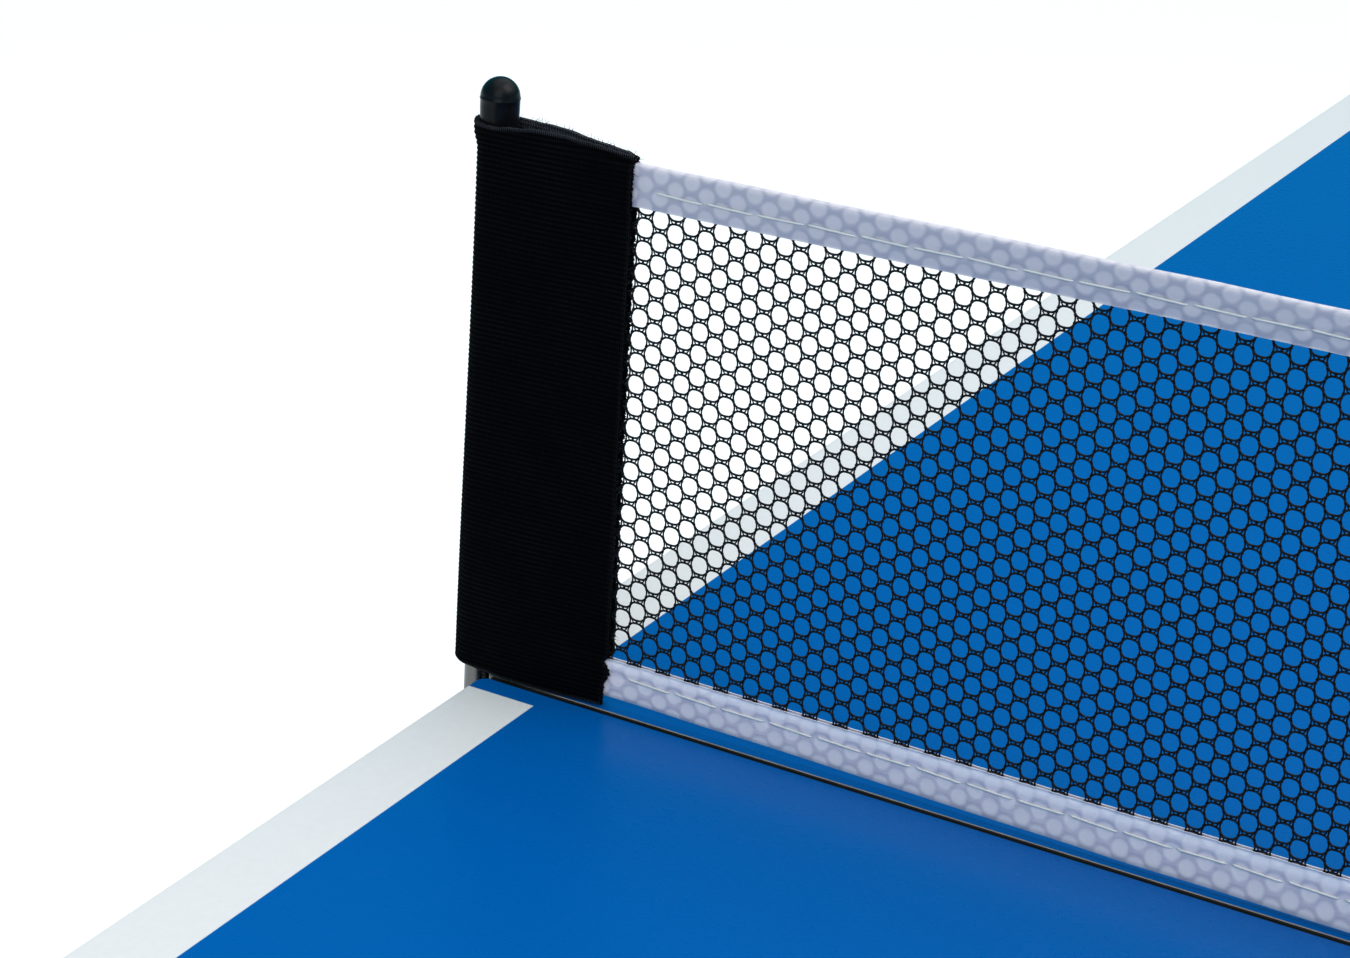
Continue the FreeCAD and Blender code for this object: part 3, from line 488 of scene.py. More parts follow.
def ribbed_cloth(base):
    """Black elastic: fine columns of stitches across the modelled ribs, with highlights painted on the ribs'
    crests.
    """
    look = Finish("ribbed_black_cloth")
    # The light tone, nine times the cloth's black, is the colour of the painted highlights on the crests.
    dark, light = tones(base, 0.25, 9.0)
    column_pitch, row_pitch = 0.0009, 0.00045
    columns = look.wave("Y", 0.5 / column_pitch, 1.2, 3.0)
    rows = look.wave("Z", 0.5 / row_pitch, 1.5, 2.0)
    fluff = look.noise(900, 4, 0.7)
    weave = look.times(columns, look.plus(0.5, look.times(rows, 0.5)))
    patch = look.noise(60, 3, 0.6)
    # Highlights are painted on the stitches at the ribs' crests, stronger in some patches than in others.
    crest = look.spread(look.attribute("rib"), 0.1, 0.95)
    crest_highlight = look.times(crest, look.spread(columns, 0.35, 0.9))
    crest_highlight = look.times(crest_highlight, look.spread(patch, 0.35, 0.7, 0.25, 1.0))
    shade = look.blend(look.plus(crest_highlight, look.times(weave, 0.05)), dark, light)
    height = look.plus(weave, look.times(fluff, 0.5))
    cut = look.attribute("cut_edge")
    ends = look.times(cut, look.spread(columns, 0.5, 0.85))
    shade = look.blend(ends, shade, (0.10, 0.10, 0.12))
    rough = look.spread(fluff, 0.3, 0.7, 0.78, 0.95)
    return look.set(
        shade, rough, look.relief(height, 0.00014, 0.75),
        Sheen_Weight=0.001,
        Sheen_Roughness=0.4,
        Specular_IOR_Level=0.035,
    )


def tape_cloth(sizes, net, name, tall):
    """Pale tape: the net shows through it, its fold carries a painted highlight, and its woven edge is
    brighter.
    """
    look = Finish(f"pale_{name}_tape")
    # The bottom tape's colours are painted paler and warmer than the top tape's. This is painted light that
    # makes up for the dimmer light down by the table.
    lower = name == "bottom"
    painted_light_gains = (1.54, 1.4, 1.4) if lower else WHITE
    cloth, shadow, fold, selvedge = (
        [channel * gain for channel, gain in zip(each, painted_light_gains)]
        for each in (sizes.cloth_colour, sizes.shade_colour, sizes.fold_highlight_colour, sizes.selvedge_colour)
    )
    y, z, from_fold = look.axes(look.attribute("flat_place", "Vector"))
    # Distance to the nearest hole of the net inside, whose threads show through the cloth.
    y = look.minus(y, net.column / 2)
    z = look.minus(z, MESH_LOW + net.climb)
    column = look.work("ROUND", look.work("DIVIDE", y, net.column))
    nearest = None
    for side in (-1.0, 0.0, 1.0):
        at = look.plus(column, side)
        odd = look.work("ABSOLUTE", look.work("MODULO", at, 2.0))
        climb = look.minus(z, look.times(look.minus(1.0, odd), net.row / 2))
        row = look.work("ROUND", look.work("DIVIDE", climb, net.row))
        miss = look.minus(climb, look.times(row, net.row))
        along = look.minus(y, look.times(at, net.column))
        reach = look.work("SQRT", look.plus(look.times(miss, miss), look.times(along, along)))
        nearest = reach if nearest is None else look.work("MINIMUM", nearest, reach)
    fluff = look.noise(420, 3, 0.6)
    nearest = look.plus(nearest, look.spread(fluff, 0.3, 0.7, -0.00012, 0.00012))
    threads = look.spread(nearest, 0.0016, 0.0028, smooth=True)
    # A painted highlight along the folded edge.
    folded = look.spread(from_fold, 0.0010, 0.0002, 0.0, 0.3, smooth=True)
    weave = look.cells(2600, at=look.stretched(1.0, 1.0, 1.4))
    cloud = look.noise(75, 3, 0.6)
    over = look.times(threads, look.spread(cloud, 0.3, 0.7, 0.72, 1.0))
    shade = look.blend(over, cloth, shadow)
    shade = look.blend(folded, shade, fold)
    if lower:
        woven = look.spread(from_fold, tall - 0.0036, tall - 0.0006, 0.0, 0.6, smooth=True)
        shade = look.blend(woven, shade, selvedge)
    shade = look.blend(look.spread(weave, 0.0, 0.5, 0.10, 0.0), shade, (0.2, 0.22, 0.35))
    rough = look.spread(weave, 0.0, 0.6, 0.5, 0.66)
    bump = look.relief(weave, 0.00003, 0.5, over=look.relief(threads, 0.00012, 0.6))
    return look.set(
        shade, rough, bump,
        Sheen_Weight=0.25,
        Sheen_Roughness=0.4,
        Subsurface_Weight=0.35,
        Subsurface_Radius=(0.0012, 0.0012, 0.0016),
        Subsurface_Scale=1.0,
    )


def pale_floor(base):
    """A plain floor with a hardly visible grain."""
    look = Finish("pale_floor")
    cloud = look.noise(1.2, 3)
    grain = look.noise(300, 3)
    shade = look.mottled(cloud, base, 0.985, 1.0)
    rough = look.spread(grain, 0.3, 0.7, 0.6, 0.72)
    return look.set(shade, rough, Specular_IOR_Level=0.2)


def dress(material, *nodes):
    """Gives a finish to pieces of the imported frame."""
    for name in nodes:
        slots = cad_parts[name].data.materials
        slots.clear()
        slots.append(material)


def on_both(*words):
    return [f"{half}_{word}" for half in HALVES for word in words]


# ---------------- mesh tools


def piece(name, points, faces, material, body, replaces=()):
    """A smooth-shaded piece that rides on a body."""
    mesh = bpy.data.meshes.new(name)
    faces = faces.tolist() if isinstance(faces, np.ndarray) else faces
    mesh.from_pydata(np.asarray(points).tolist(), [], faces)
    mesh.update()
    mesh.shade_smooth()
    mesh.materials.append(material)
    made = bpy.data.objects.new(name, mesh)
    bpy.context.scene.collection.objects.link(made)
    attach(made, body)
    if replaces:
        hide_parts(*replaces)
    return made


def mark(made, name, given, kind="FLOAT", field="value"):
    """Keeps a value for each point, which the piece's material reads."""
    made.data.attributes.new(name, kind, "POINT").data.foreach_set(field, given)


def strands(paths, radius, sides):
    """Points and four-sided faces of round threads along paths, closed at both ends."""
    turn = np.linspace(0, 2 * math.pi, sides, endpoint=False)
    points, faces, start = [], [], 0
    for path in paths:
        path = np.asarray(path, float)
        along = np.gradient(path, axis=0)
        along /= np.linalg.norm(along, axis=1)[:, None]
        out = np.array([1.0, 0, 0]) - along[:, :1] * along
        lost = np.linalg.norm(out, axis=1) < 0.2
        out[lost] = np.array([0, 0, 1.0]) - along[lost, 2:] * along[lost]
        out /= np.linalg.norm(out, axis=1)[:, None]
        other = np.cross(along, out)
        ring = np.cos(turn)[None, :, None] * out[:, None] + np.sin(turn)[None, :, None] * other[:, None]
        points.append((path[:, None] + radius * ring).reshape(-1, 3))
        step = np.arange(len(path) - 1)[:, None] * sides
        side = np.arange(sides)[None, :]
        next_side = (side + 1) % sides
        after = step + sides
        quads = np.stack([step + side, step + next_side, after + next_side, after + side], axis=-1)
        faces.append(start + quads.reshape(-1, 4))
        last = start + (len(path) - 1) * sides
        for k in range(1, sides - 1, 2):
            corner = min(k + 2, sides - 1)
            if corner > k + 1:
                faces.append(np.array([[start, start + corner, start + k + 1, start + k]]))
                faces.append(np.array([[last, last + k, last + k + 1, last + corner]]))
        start += len(path) * sides
    return np.concatenate(points), np.concatenate(faces)


def join(*parts):
    """Several lots of points and faces as one."""
    starts = np.cumsum([0] + [len(points) for points, _ in parts[:-1]])
    faces = np.concatenate([faces + start for start, (_, faces) in zip(starts, parts)])
    return np.concatenate([points for points, _ in parts]), faces


def turned(profile, sides, centre):
    """Points and faces of a shape turned about an upright axis. A radius of zero is a pole."""
    points, faces, rings = [], [], []
    for radius, height in profile:
        if radius == 0:
            rings.append([len(points)] * sides)
            points.append((centre[0], centre[1], height))
            continue
        rings.append(list(range(len(points), len(points) + sides)))
        for k in range(sides):
            angle = 2 * math.pi * k / sides
            x, y = centre[0] + radius * math.cos(angle), centre[1] + radius * math.sin(angle)
            points.append((x, y, height))
    for below, above in zip(rings, rings[1:]):
        for k in range(sides):
            loop = [below[k], below[(k + 1) % sides], above[(k + 1) % sides], above[k]]
            faces.append(list(dict.fromkeys(loop)))
    return points, faces


def sheet_faces(rows, columns, start=0, flip=False):
    """Faces of a grid of points."""
    row = np.arange(rows - 1)[:, None] * columns
    column = np.arange(columns - 1)[None, :]
    first = row + column
    quads = np.stack([first, first + 1, first + columns + 1, first + columns], axis=-1)
    quads = start + quads.reshape(-1, 4)
    return quads[:, ::-1] if flip else quads


def closed_sheet(outer, inner):
    """One closed skin from an outer and an inner grid of points of the same shape."""
    rows, columns = outer.shape[:2]
    points = np.concatenate([outer.reshape(-1, 3), inner.reshape(-1, 3)])
    count = rows * columns
    faces = [sheet_faces(rows, columns), sheet_faces(rows, columns, count, True)]
    index = np.arange(count).reshape(rows, columns)
    for edge, turn in ((index[0], True), (index[-1], False), (index[:, 0], False), (index[:, -1], True)):
        rim = np.stack([edge[:-1], edge[1:], edge[1:] + count, edge[:-1] + count], axis=-1)
        faces.append(rim if turn else rim[:, ::-1])
    return points, np.concatenate(faces)


def ease(given, start, end):
    """From 0 at start to 1 at end, slowly at both."""
    step = np.clip((given - start) / (end - start), 0, 1)
    return step * step * (3 - 2 * step)


def through(given, table):
    """A smooth curve through a table of places and heights."""
    places, heights = zip(*table)
    result = np.full(np.shape(given), float(heights[0]))
    for start, finish, a, b in zip(places, places[1:], heights, heights[1:]):
        result = result + (b - a) * ease(given, start, finish)
    return result


def hang(points, net):
    """Moves flat net points to where the tapes hold them: gathered at the sleeves, spread in the middle."""
    points = np.array(points, float)
    y, z = points[..., 1], points[..., 2]
    gathered, spread = np.interp(z, LEVELS, GATHERED), np.interp(z, LEVELS, SPREAD)
    open_share = ease(NET_END - np.abs(y), -0.05, net.slack)
    points[..., 2] += gathered + (spread - gathered) * open_share
    bow = 1 - np.clip(np.abs(y) / NET_END, 0, 1) ** 2
    rise = (z - TAPE_LOW) / (TAPE_TOP - TAPE_LOW)
    points[..., 0] += bow * (0.0006 * np.sin(17 * y + 2.0 * rise) + 0.0002 * np.sin(61 * y - 3.0 * rise))
    return points


def corner(before, at, after):
    """Points round a soft corner."""
    turn = np.linspace(0, 1, 4)[:, None]
    return (1 - turn) ** 2 * before + 2 * turn * (1 - turn) * at + turn**2 * after


def hole_distance(y, z, net):
    """How far points are from the nearest hole's centre in the net's knitted lattice."""
    y, z = y - net.column / 2, z - net.climb
    column = np.round(y / net.column)
    best = np.full(np.shape(y), 1.0)
    for side in (-1, 0, 1):
        at = column + side
        shift = np.where(np.mod(at, 2) == 0, 0.5, 0.0) * net.row
        level = np.round((z - MESH_LOW - shift) / net.row) * net.row + shift + MESH_LOW
        best = np.minimum(best, np.hypot(y - at * net.column, z - level))
    return best


# ---------------- operators


class TABLE_OT_playing_surfaces(Operator):
    """Lay the blue laminate with its painted lines on both halves"""

    bl_idname = "table.playing_surfaces"
    bl_label = "Playing surfaces"

    def execute(self, context):
        top = context.scene.top_finish
        dress(laminate(top), *on_both("playing_surface"))
        return {"FINISHED"}


class TABLE_OT_boards(Operator):
    """Finish the fibre boards and their edge bands"""

    bl_idname = "table.boards"
    bl_label = "Boards and bands"

    def execute(self, context):
        top = context.scene.top_finish
        dress(fibre_board(top.board), *on_both("board"))
        dress(joint_band(top), *on_both("joint_band"))
        dress(painted_band(top), *on_both("outer_band"))
        return {"FINISHED"}


class TABLE_OT_frames(Operator):
    """Paint the rails and leg frames, and finish their caps and feet"""

    bl_idname = "table.frames"
    bl_label = "Rails and leg frames"

    def execute(self, context):
        hardware = context.scene.hardware_finish
        legs = [f"{end}_leg_{part}" for end in FRAMES for part in ("tubes", "crossbars")]
        dress(powder_coat(hardware.paint), *on_both("side_rails", "cross_rails", *legs), "net_post_sockets")
        dress(rubber(hardware.rubber), *on_both(*(f"{end}_leg_feet" for end in FRAMES)))
        plastic = moulded("grained_plastic", hardware.plastic, 0.42)
        dress(plastic, *on_both("rail_end_caps", "carry_handle", "handle_lugs"))
        dress(plastic, "left_post_thumbscrew", "right_post_thumbscrew")
        return {"FINISHED"}


class TABLE_OT_plated_parts(Operator):
    """Plate the brackets, bolts, stays, plates, dowels and screws"""

    bl_idname = "table.plated_parts"
    bl_label = "Brackets and stays"

    def execute(self, context):
        hardware = context.scene.hardware_finish
        pressed = plated("zinc_pressings", hardware.zinc, 0.33)
        bright = plated("bright_zinc", hardware.zinc, 0.22)
        stays = [f"{end}_{part}_stays" for end in FRAMES for part in ("upper", "lower")]
        dress(pressed, *on_both("corner_plates", "leg_brackets", "stay_mounts", *stays))
        dress(bright, *on_both("pivot_bolts"), "socket_screws", "net_half_dowel_bushes", "plain_half_dowels")
        return {"FINISHED"}


class TABLE_OT_net_posts(Operator):
    """Chrome the net posts and mould their vinyl caps"""

    bl_idname = "table.net_posts"
    bl_label = "Net posts and caps"

    def execute(self, context):
        hardware = context.scene.hardware_finish
        dress(polished_rod(hardware.chrome), "left_net_post", "right_net_post")
        vinyl = moulded("black_vinyl", hardware.vinyl, 0.3, 2600, 0.000012, 0.1)
        top, bottom = high("post_caps")[2], low("post_caps")[2]
        radius = high("post_caps")[1] - POST_Y
        bore, edge, hair = 0.0039, 0.0003, 0.0001
        base = top - radius
        profile = [(bore, bottom), (radius * 0.93, bottom)]
        for k in range(9):
            rise = (base - bottom - 3 * edge) * k / 8
            profile.append((radius * (0.95 + 0.04 * k / 8), bottom + edge + rise))
        # The mould's parting line stands out a hair at the foot of the dome.
        line = radius * 0.99 + 0.00012
        profile += [(line, base - edge), (line, base - hair), (radius * 0.985, base + hair)]
        for degrees in range(8, 90, 8):
            round_x, round_z = math.cos(math.radians(degrees)), math.sin(math.radians(degrees))
            profile.append((radius * 0.985 * round_x, base + hair + (radius - hair) * round_z))
        profile.append((0, top))
        for side, way in SIDES:
            points, faces = turned(profile, 48, (POST_X, way * POST_Y))
            piece(f"{side}_post_cap", points, faces, vinyl, "net_set", ["post_caps"])
        return {"FINISHED"}


class TABLE_OT_net_mesh(Operator):
    """Knit the net: zigzag threads, doubled where the holes of a column meet, and their short ties"""

    bl_idname = "table.net_mesh"
    bl_label = "Net mesh"

    def execute(self, context):
        net = context.scene.net_sizes
        thread = twisted_thread("black_net_thread", net.thread_colour, gloss=0.7, shine=0.12)
        half_row, half_gap = net.row / 2, net.gap / 2
        parts, reach = 6, int(NET_END / net.column) + 1
        cuts = np.linspace(-reach, reach, parts + 1).round().astype(int)
        threads = int((MESH_HIGH - MESH_LOW) / half_row) + 2
        # One step of a zigzag thread: along the doubled run, round the corner, up the slope, round the next.
        run, soft = 0.357 * net.column, 0.00115
        rise = half_row - net.gap
        slope = np.array([net.column - 2 * run, rise])
        slope /= np.linalg.norm(slope)
        first, second = np.array([run, 0.0]), np.array([net.column - run, rise])
        bend_up = corner(first - [soft, 0], first, first + soft * slope)
        bend_on = corner(second - soft * slope, second, second + [soft, 0])
        zigzag = np.concatenate([bend_up, bend_on])
        # A loop that closes one side of a hole: shares of a column out from its middle, and of half a row up.
        loop_out, loop_up = np.array([0.48, 0.555, 0.555, 0.48]), np.array([-0.41, -0.15, 0.15, 0.41])
        for part in range(parts):
            begin, finish = cuts[part], cuts[part + 1]
            paths, ties, rings = [], [], []
            for wale in range(-2, threads):
                foot = MESH_LOW + net.climb + half_row * wale
                path = []
                for column in range(begin, finish):
                    up = zigzag[:, 1] if (column + wale) % 2 == 0 else rise - zigzag[:, 1]
                    along = (column + 0.5) * net.column + zigzag[:, 0]
                    path.append(np.column_stack([along, foot + half_gap + up]))
                last_up = 0 if (finish + wale) % 2 == 0 else rise
                path.append(np.array([[(finish + 0.5) * net.column, foot + half_gap + last_up]]))
                flat = np.concatenate(path)
                paths.append(np.column_stack([np.full(len(flat), NET_X), flat]))
                for column in range(begin, finish):
                    if (column + wale) % 2:
                        continue
                    y, z = (column + 0.5) * net.column, foot + half_row
                    for leaves, meets in TIES:
                        start = (NET_X, y + leaves, foot - half_gap)
                        ties.append([start, (NET_X, y + meets, foot + half_gap)])
                    for way in (-1, 1):
                        out = y + way * loop_out * net.column
                        rings.append(np.column_stack([np.full(4, NET_X), out, z + loop_up * half_row]))
            points, faces = join(
                strands([hang(path, net) for path in paths], net.thread / 2, 5),
                strands([hang(path, net) for path in ties], net.tie / 2, 4),
                strands([hang(path, net) for path in rings], net.ring / 2, 4),
            )
            made = piece(f"net_mesh_{part + 1}", points, faces, thread, "net_set", ["net_mesh"])
        return {"FINISHED"}


class TABLE_OT_net_tapes(Operator):
    """Fold the two tapes over the edges of the net"""

    bl_idname = "table.net_tapes"
    bl_label = "Net tapes"

    def execute(self, context):
        net, sizes = context.scene.net_sizes, context.scene.tape_sizes
        overhang, rows, seam_reach = 0.004, 960, 0.0009
        y = np.linspace(-NET_END - overhang, NET_END + overhang, rows)
        flat = np.linspace(0, 1, 17)
        bulge = np.linspace(0, math.pi, 7)[1:-1]
        tip = sizes.half_thick * 0.9
        for name, bottom, top, seam in TAPES:
            tall = top - bottom
            fold_up = name == "top"
            fold_at, away = (top, -1) if fold_up else (bottom, 1)
            # The folded section: up the front, over the fold and down the back.
            heights = [fold_at + away * (tip + (tall - tip) * (1 - s)) for s in flat[:-1]]
            heights += [fold_at + away * tip * (1 - math.sin(angle)) for angle in bulge]
            heights += [fold_at + away * (tip + (tall - tip) * s) for s in flat[1:]]
            straight = [1.0] * (len(flat) - 1)
            outs = [-each for each in straight] + [-math.cos(angle) for angle in bulge] + straight
            yy, zz = np.meshgrid(y, np.array(heights), indexing="ij")
            out = np.broadcast_to(np.array(outs), yy.shape)
            nearness = ease(hole_distance(yy, zz, net), *THREAD_REACH)
            from_fold = np.abs(zz - fold_at)
            from_edge = tall - from_fold
            pinch = np.exp(-(((zz - (bottom + seam * tall)) / seam_reach) ** 2))
            lift = sizes.relief * nearness * ease(from_fold, 0.0016, 0.0034) * (1 - 0.7 * pinch)
            thin = 1 - 0.28 * ease(from_edge, 0.0028, 0.0) - 0.14 * pinch
            wander = 0.00008 * np.sin(yy * 110 + 1.3 * np.sin(yy * 47)) * ease(from_fold, 0.006, 0.0)
            half = sizes.half_thick * thin + lift
            level = zz + away * wander
            inset = away * sizes.cloth * ease(1 - np.abs(out), 0.0, 0.9)
            outer = hang(np.stack([NET_X + out * half, yy, level], axis=-1), net)
            inner = np.stack([NET_X + out * (half - sizes.cloth), yy, level], axis=-1)
            inner[..., 2] += inset
            points, faces = closed_sheet(outer, hang(inner, net))
            if fold_up:
                faces = faces[:, ::-1]
            cloth = tape_cloth(sizes, net, name, tall)
            node = f"net_{name}_tape"
            made = piece(f"{node}_cloth", points, faces, cloth, "net_set", [node])
            place = np.stack([yy, zz, from_fold], axis=-1).ravel()
            mark(made, "flat_place", np.concatenate([place, place]), "FLOAT_VECTOR", "vector")
        return {"FINISHED"}


class TABLE_OT_tape_stitching(Operator):
    """Sew a row of long stitches along each tape, front and back"""

    bl_idname = "table.tape_stitching"
    bl_label = "Tape stitching"

    def execute(self, context):
        net, sizes = context.scene.net_sizes, context.scene.tape_sizes
        thread = twisted_thread("pale_sewing_thread", sizes.stitch_colour, 9000, 0.5, 0.82, 1.1)
        step = sizes.stitch + sizes.stitch_gap
        # Where the first stitch starts, and how far a stitch stands out in its middle and dips at its ends.
        inset, proud, sunk = 0.004, 0.00017, 0.0005
        for name, bottom, top, seam in TAPES:
            z = bottom + seam * (top - bottom)
            paths = []
            for way in (-1, 1):
                for k in range(int(2 * NET_END / step)):
                    start = -NET_END + inset + k * step + (0.5 * step if way > 0 else 0)
                    along = np.linspace(0, 1, 11)
                    lean = 0.00035 * math.sin(2.1 * k)
                    depth = ease(np.abs(along - 0.5), 0.40, 0.5)
                    x = NET_X + way * (sizes.half_thick * 0.90 + proud - sunk * depth)
                    y = start + along * sizes.stitch
                    paths.append(np.column_stack([x, y, z + (lean + 0.0003) * (along - 0.5)]))
            points, faces = strands([hang(path, net) for path in paths], sizes.stitch_thread / 2, 6)
            piece(f"net_{name}_tape_stitching", points, faces, thread, "net_set")
        return {"FINISHED"}


class TABLE_OT_post_sleeves(Operator):
    """Wrap the ribbed sleeves round the net posts and fray their cut edges"""

    bl_idname = "table.post_sleeves"
    bl_label = "Post sleeves"

    def execute(self, context):
        sizes = context.scene.sleeve_sizes
        cloth = ribbed_cloth(sizes.black)
        hem_drop, drawn_in, seam_thick, tape_thick = 0.0006, 0.0014, 0.0010, 0.0008
        fibres, side_fibres, fibre_radius, fringe = 620, 0.62, 0.00004, 0.00016
        bottom, top = low("left_post_sleeve")[2] - hem_drop, high("left_post_sleeve")[2]
        end = low("left_post_sleeve")[1]
        round_radius = high("left_post_sleeve")[1] - POST_Y - sizes.cloth / 2
        flat = np.linspace(0, 1, 33)
        turn = np.linspace(math.pi, 0, 17)[1:-1]
        # Each column of points: its share of the way to the post, and its place round the post.
        share = np.concatenate([flat, np.ones(len(turn)), flat[::-1]])
        beyond = np.concatenate([0 * flat, np.sin(turn), 0 * flat])
        across = np.concatenate([0 * flat - 1, np.cos(turn), 0 * flat + 1])
        front, back = across < 0, across > 0
        columns, rows = len(share), 600
        height = np.linspace(0, 1, rows)[:, None]
        level = bottom + (top - bottom) * height
        tight = drawn_in * ease(height, 0.0, 0.92) * (1 - 0.75 * ease(height, 0.945, 0.985))
        # The seam is thick where it holds a tape, and thin over the mesh and above the net.
        tapes = ease(level, MESH_HIGH - 0.003, MESH_HIGH) + ease(level, MESH_LOW + 0.003, MESH_LOW)
        above_net = ease(level, TAPE_TOP - 0.001, TAPE_TOP + 0.001)
        seam = seam_thick + tape_thick * tapes - seam_thick * above_net
        widen = ease(share, 0.0, 1.0)
        half = seam + (round_radius - 0.45 * tight - seam) * widen
        x = NET_X + (POST_X - NET_X) * widen + across * half
        y = end + (POST_Y - end) * share + (round_radius - tight) * beyond
        upper = np.where(front, through(1 - share, MOUTH_FRONT), through(1 - share, MOUTH_BACK)) / 1000
        upper = upper + 0.0003 * beyond
        hem_back = 0.00025 * np.sin(share * 9) + 0.0012 * (1 - ease(share, 0.0, 0.15))
        lower = 0.0013 * beyond**2 + np.where(front, through(1 - share, HEM_FRONT) / 1000, hem_back)
        z = level + lower * (1 - ease(height, 0, 0.02)) + upper * ease(height, 0.93, 1.0)
        along_x, along_y = np.gradient(x, axis=1), np.gradient(y, axis=1)
        size = np.hypot(along_x, along_y)
        out_x, out_y = -along_y / size, along_x / size
        travel = np.cumsum(size, axis=1)
        ribs = np.cos(2 * math.pi * (z + 0.0002 * np.sin(travel * 55)) / sizes.rib_pitch)
        ribs = np.sign(ribs) * np.abs(ribs) ** 0.8
        hem = ease(height, 0.988, 1.0) + ease(height, 0.010, 0.0)
        between = np.sin(math.pi * np.clip(1.02 * (1 - share), 0, 1))
        puff = between * (0.0006 * np.sin(height * 9 + back * 2) + 0.0003 * np.sin(height * 23 + 3 * share))
        flare = 0.0001 * ease(height, 0.955, 0.985) * beyond
        off = sizes.rib_depth / 2 * ribs * (1 - 0.6 * hem) + puff + flare
        thick = sizes.cloth * (1 + 0.25 * hem) / 2
        ragged = through(level, RAGGED) / 1000 * (1 - ease(share, 0.0, 0.1))
        worn = 0.45 * ease(height, 0.9935, 0.999) + 0.3 * ease(height, 0.006, 0.001) + 0.12 * (share < 0.02)
        bare = np.where(back, ease(height, 0.982, 0.988), worn)
        for side, way in SIDES:
            rng = np.random.default_rng(SEEDS[side])
            fray = rng.normal(0, fringe, z.shape) * (share < 0.012) + ragged
            outer, inner = (
                np.stack([x + out_x * far, way * (y + out_y * far + fray), z], axis=-1)
                for far in (off + thick, off - thick)
            )
            points, faces = closed_sheet(outer, inner)
            if way < 0:
                faces = faces[:, ::-1]
            name, node = f"{side}_sleeve_cloth", f"{side}_post_sleeve"
            made = piece(name, points, faces, cloth, "net_set", [node])
            mark(made, "rib", np.concatenate([ribs.ravel(), ribs.ravel()]))
            mark(made, "cut_edge", np.concatenate([worn.ravel(), bare.ravel()]))
            hairs = []
            for _ in range(fibres):
                if rng.random() < side_fibres:
                    row, column = rng.integers(0, rows), rng.choice([0, columns - 1])
                    out = np.array([rng.normal(0, 0.5), -way * abs(rng.normal(0.8, 0.4)), rng.normal(0, 0.5)])
                else:
                    row, column = rows - 1, rng.integers(0, columns)
                    out = np.array([rng.normal(0, 0.5), rng.normal(0, 0.5), abs(rng.normal(0.7, 0.3))])
                root = (outer[row, column] + inner[row, column]) / 2
                out /= np.linalg.norm(out)
                long = sizes.fray * rng.uniform(0.25, 1.0)
                curl = rng.normal(0, 0.3, 3)
                hairs.append([root + long * (s * out + s * s * curl) for s in (-0.1, 0.35, 0.7, 1.0)])
            points, faces = strands(hairs, fibre_radius, 4)
            piece(f"{side}_sleeve_fray", points, faces, cloth, "net_set")
        return {"FINISHED"}


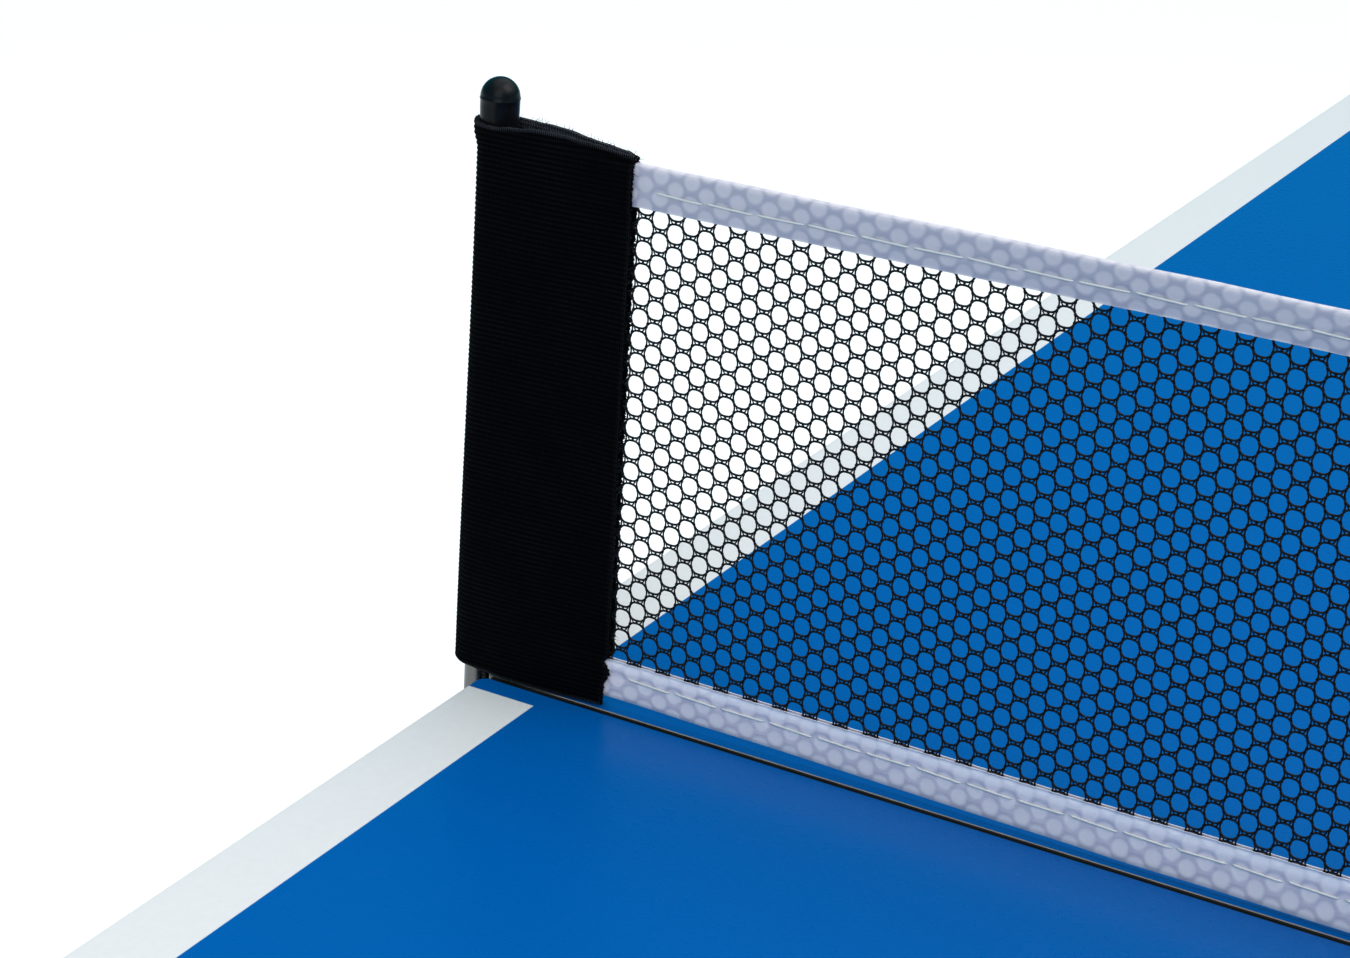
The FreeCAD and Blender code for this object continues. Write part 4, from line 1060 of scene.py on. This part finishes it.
class TABLE_OT_stage(Operator):
    """Set the floor, the lights and the camera"""

    bl_idname = "table.stage"
    bl_label = "Stage"

    def execute(self, context):
        stage = context.scene.stage_sizes
        half = stage.floor_size / 2
        mesh = bpy.data.meshes.new("floor")
        corners = [(-half, -half, 0), (half, -half, 0), (half, half, 0), (-half, half, 0)]
        mesh.from_pydata(corners, [], [(0, 1, 2, 3)])
        mesh.materials.append(pale_floor(stage.floor))
        floor = bpy.data.objects.new("floor", mesh)
        context.scene.collection.objects.link(floor)

        world = bpy.data.worlds.new("studio")
        world.use_nodes = True
        studio = Nodes(world.node_tree)
        place = studio.node("ShaderNodeTexCoord").outputs["Generated"]
        zenith = (0.16, -0.30, 0.94)
        overhead = studio.node("ShaderNodeVectorMath", {0: place, 1: zenith}, operation="DOT_PRODUCT")
        ramp = studio.node("ShaderNodeValToRGB", {0: overhead.outputs["Value"]})
        for stop, at, shade in zip(ramp.color_ramp.elements, (0.55, 0.80), (stage.low_sky, WHITE)):
            stop.position, stop.color = at, (*shade, 1)
        # Past the floor's edge the studio looks plain white.
        looked_at = studio.node("ShaderNodeLightPath").outputs["Is Camera Ray"]
        sky = studio.tree.nodes["Background"]
        studio.feed(sky.inputs["Color"], studio.blend(looked_at, ramp.outputs[0], WHITE))
        sky.inputs["Strength"].default_value = stage.sky
        context.scene.world = world

        for name, at, aim, size, watts, gloss in (
            ("key_light", (-3.3, -0.7, 2.7), (0.0, 0.2, 0.8), 3.0, stage.key_power, 0.3),
            ("side_light", (0.35, -1.6, 3.7), (0.0, 0.4, 0.8), 2.3, stage.side_power, 1.0),
        ):
            light = bpy.data.lights.new(name, "AREA")
            light.size, light.energy, light.specular_factor = size, watts, gloss
            lamp = bpy.data.objects.new(name, light)
            lamp.location = at
            lamp.rotation_euler = (Vector(aim) - Vector(at)).to_track_quat("-Z", "Y").to_euler()
            context.scene.collection.objects.link(lamp)

        turned_by, dip, roll = stage.heading, stage.dip, stage.roll
        ahead = math.cos(dip)
        look = Vector((-math.sin(turned_by) * ahead, math.cos(turned_by) * ahead, -math.sin(dip)))
        level = Vector((math.cos(turned_by), math.sin(turned_by), 0))
        upward = level.cross(look)
        across = level * math.cos(roll) + upward * math.sin(roll)
        above = upward * math.cos(roll) - level * math.sin(roll)
        lens = bpy.data.cameras.new("camera")
        lens.sensor_width = 36
        lens.lens = stage.lens
        lens.clip_start = 0.01
        camera = bpy.data.objects.new("camera", lens)
        turn = Matrix((across, above, -look)).transposed().to_4x4()
        camera.matrix_world = Matrix.Translation(Vector(stage.camera)) @ turn
        context.scene.collection.objects.link(camera)
        context.scene.camera = camera
        context.scene.view_settings.view_transform = "Standard"
        return {"FINISHED"}


OPERATORS = (
    TABLE_OT_playing_surfaces,
    TABLE_OT_boards,
    TABLE_OT_frames,
    TABLE_OT_plated_parts,
    TABLE_OT_net_posts,
    TABLE_OT_net_mesh,
    TABLE_OT_net_tapes,
    TABLE_OT_tape_stitching,
    TABLE_OT_post_sleeves,
    TABLE_OT_stage,
)


class TABLE_PT_pieces(Panel):
    """The table's pieces, in the order that they are made"""

    bl_label = "Table tennis table"
    bl_idname = "TABLE_PT_pieces"
    bl_space_type = "VIEW_3D"
    bl_region_type = "UI"
    bl_category = "Table tennis"

    def draw(self, context):
        for operator in OPERATORS:
            self.layout.operator(operator.bl_idname)
        for name in GROUPS:
            group = getattr(context.scene, name)
            box = self.layout.box()
            for prop in group.__annotations__:
                box.prop(group, prop)


GROUPS = {
    "top_finish": TopFinish,
    "net_sizes": NetSizes,
    "tape_sizes": TapeSizes,
    "sleeve_sizes": SleeveSizes,
    "hardware_finish": HardwareFinish,
    "stage_sizes": StageSizes,
}
CLASSES = (*GROUPS.values(), *OPERATORS, TABLE_PT_pieces)


def register():
    for cls in CLASSES:
        bpy.utils.register_class(cls)
    for name, group in GROUPS.items():
        setattr(bpy.types.Scene, name, PointerProperty(type=group))


def unregister():
    for name in GROUPS:
        delattr(bpy.types.Scene, name)
    for cls in reversed(CLASSES):
        bpy.utils.unregister_class(cls)


def main():
    register()
    for operator in OPERATORS:
        getattr(bpy.ops.table, operator.bl_idname.split(".")[1])()


if __name__ == "__main__":
    main()
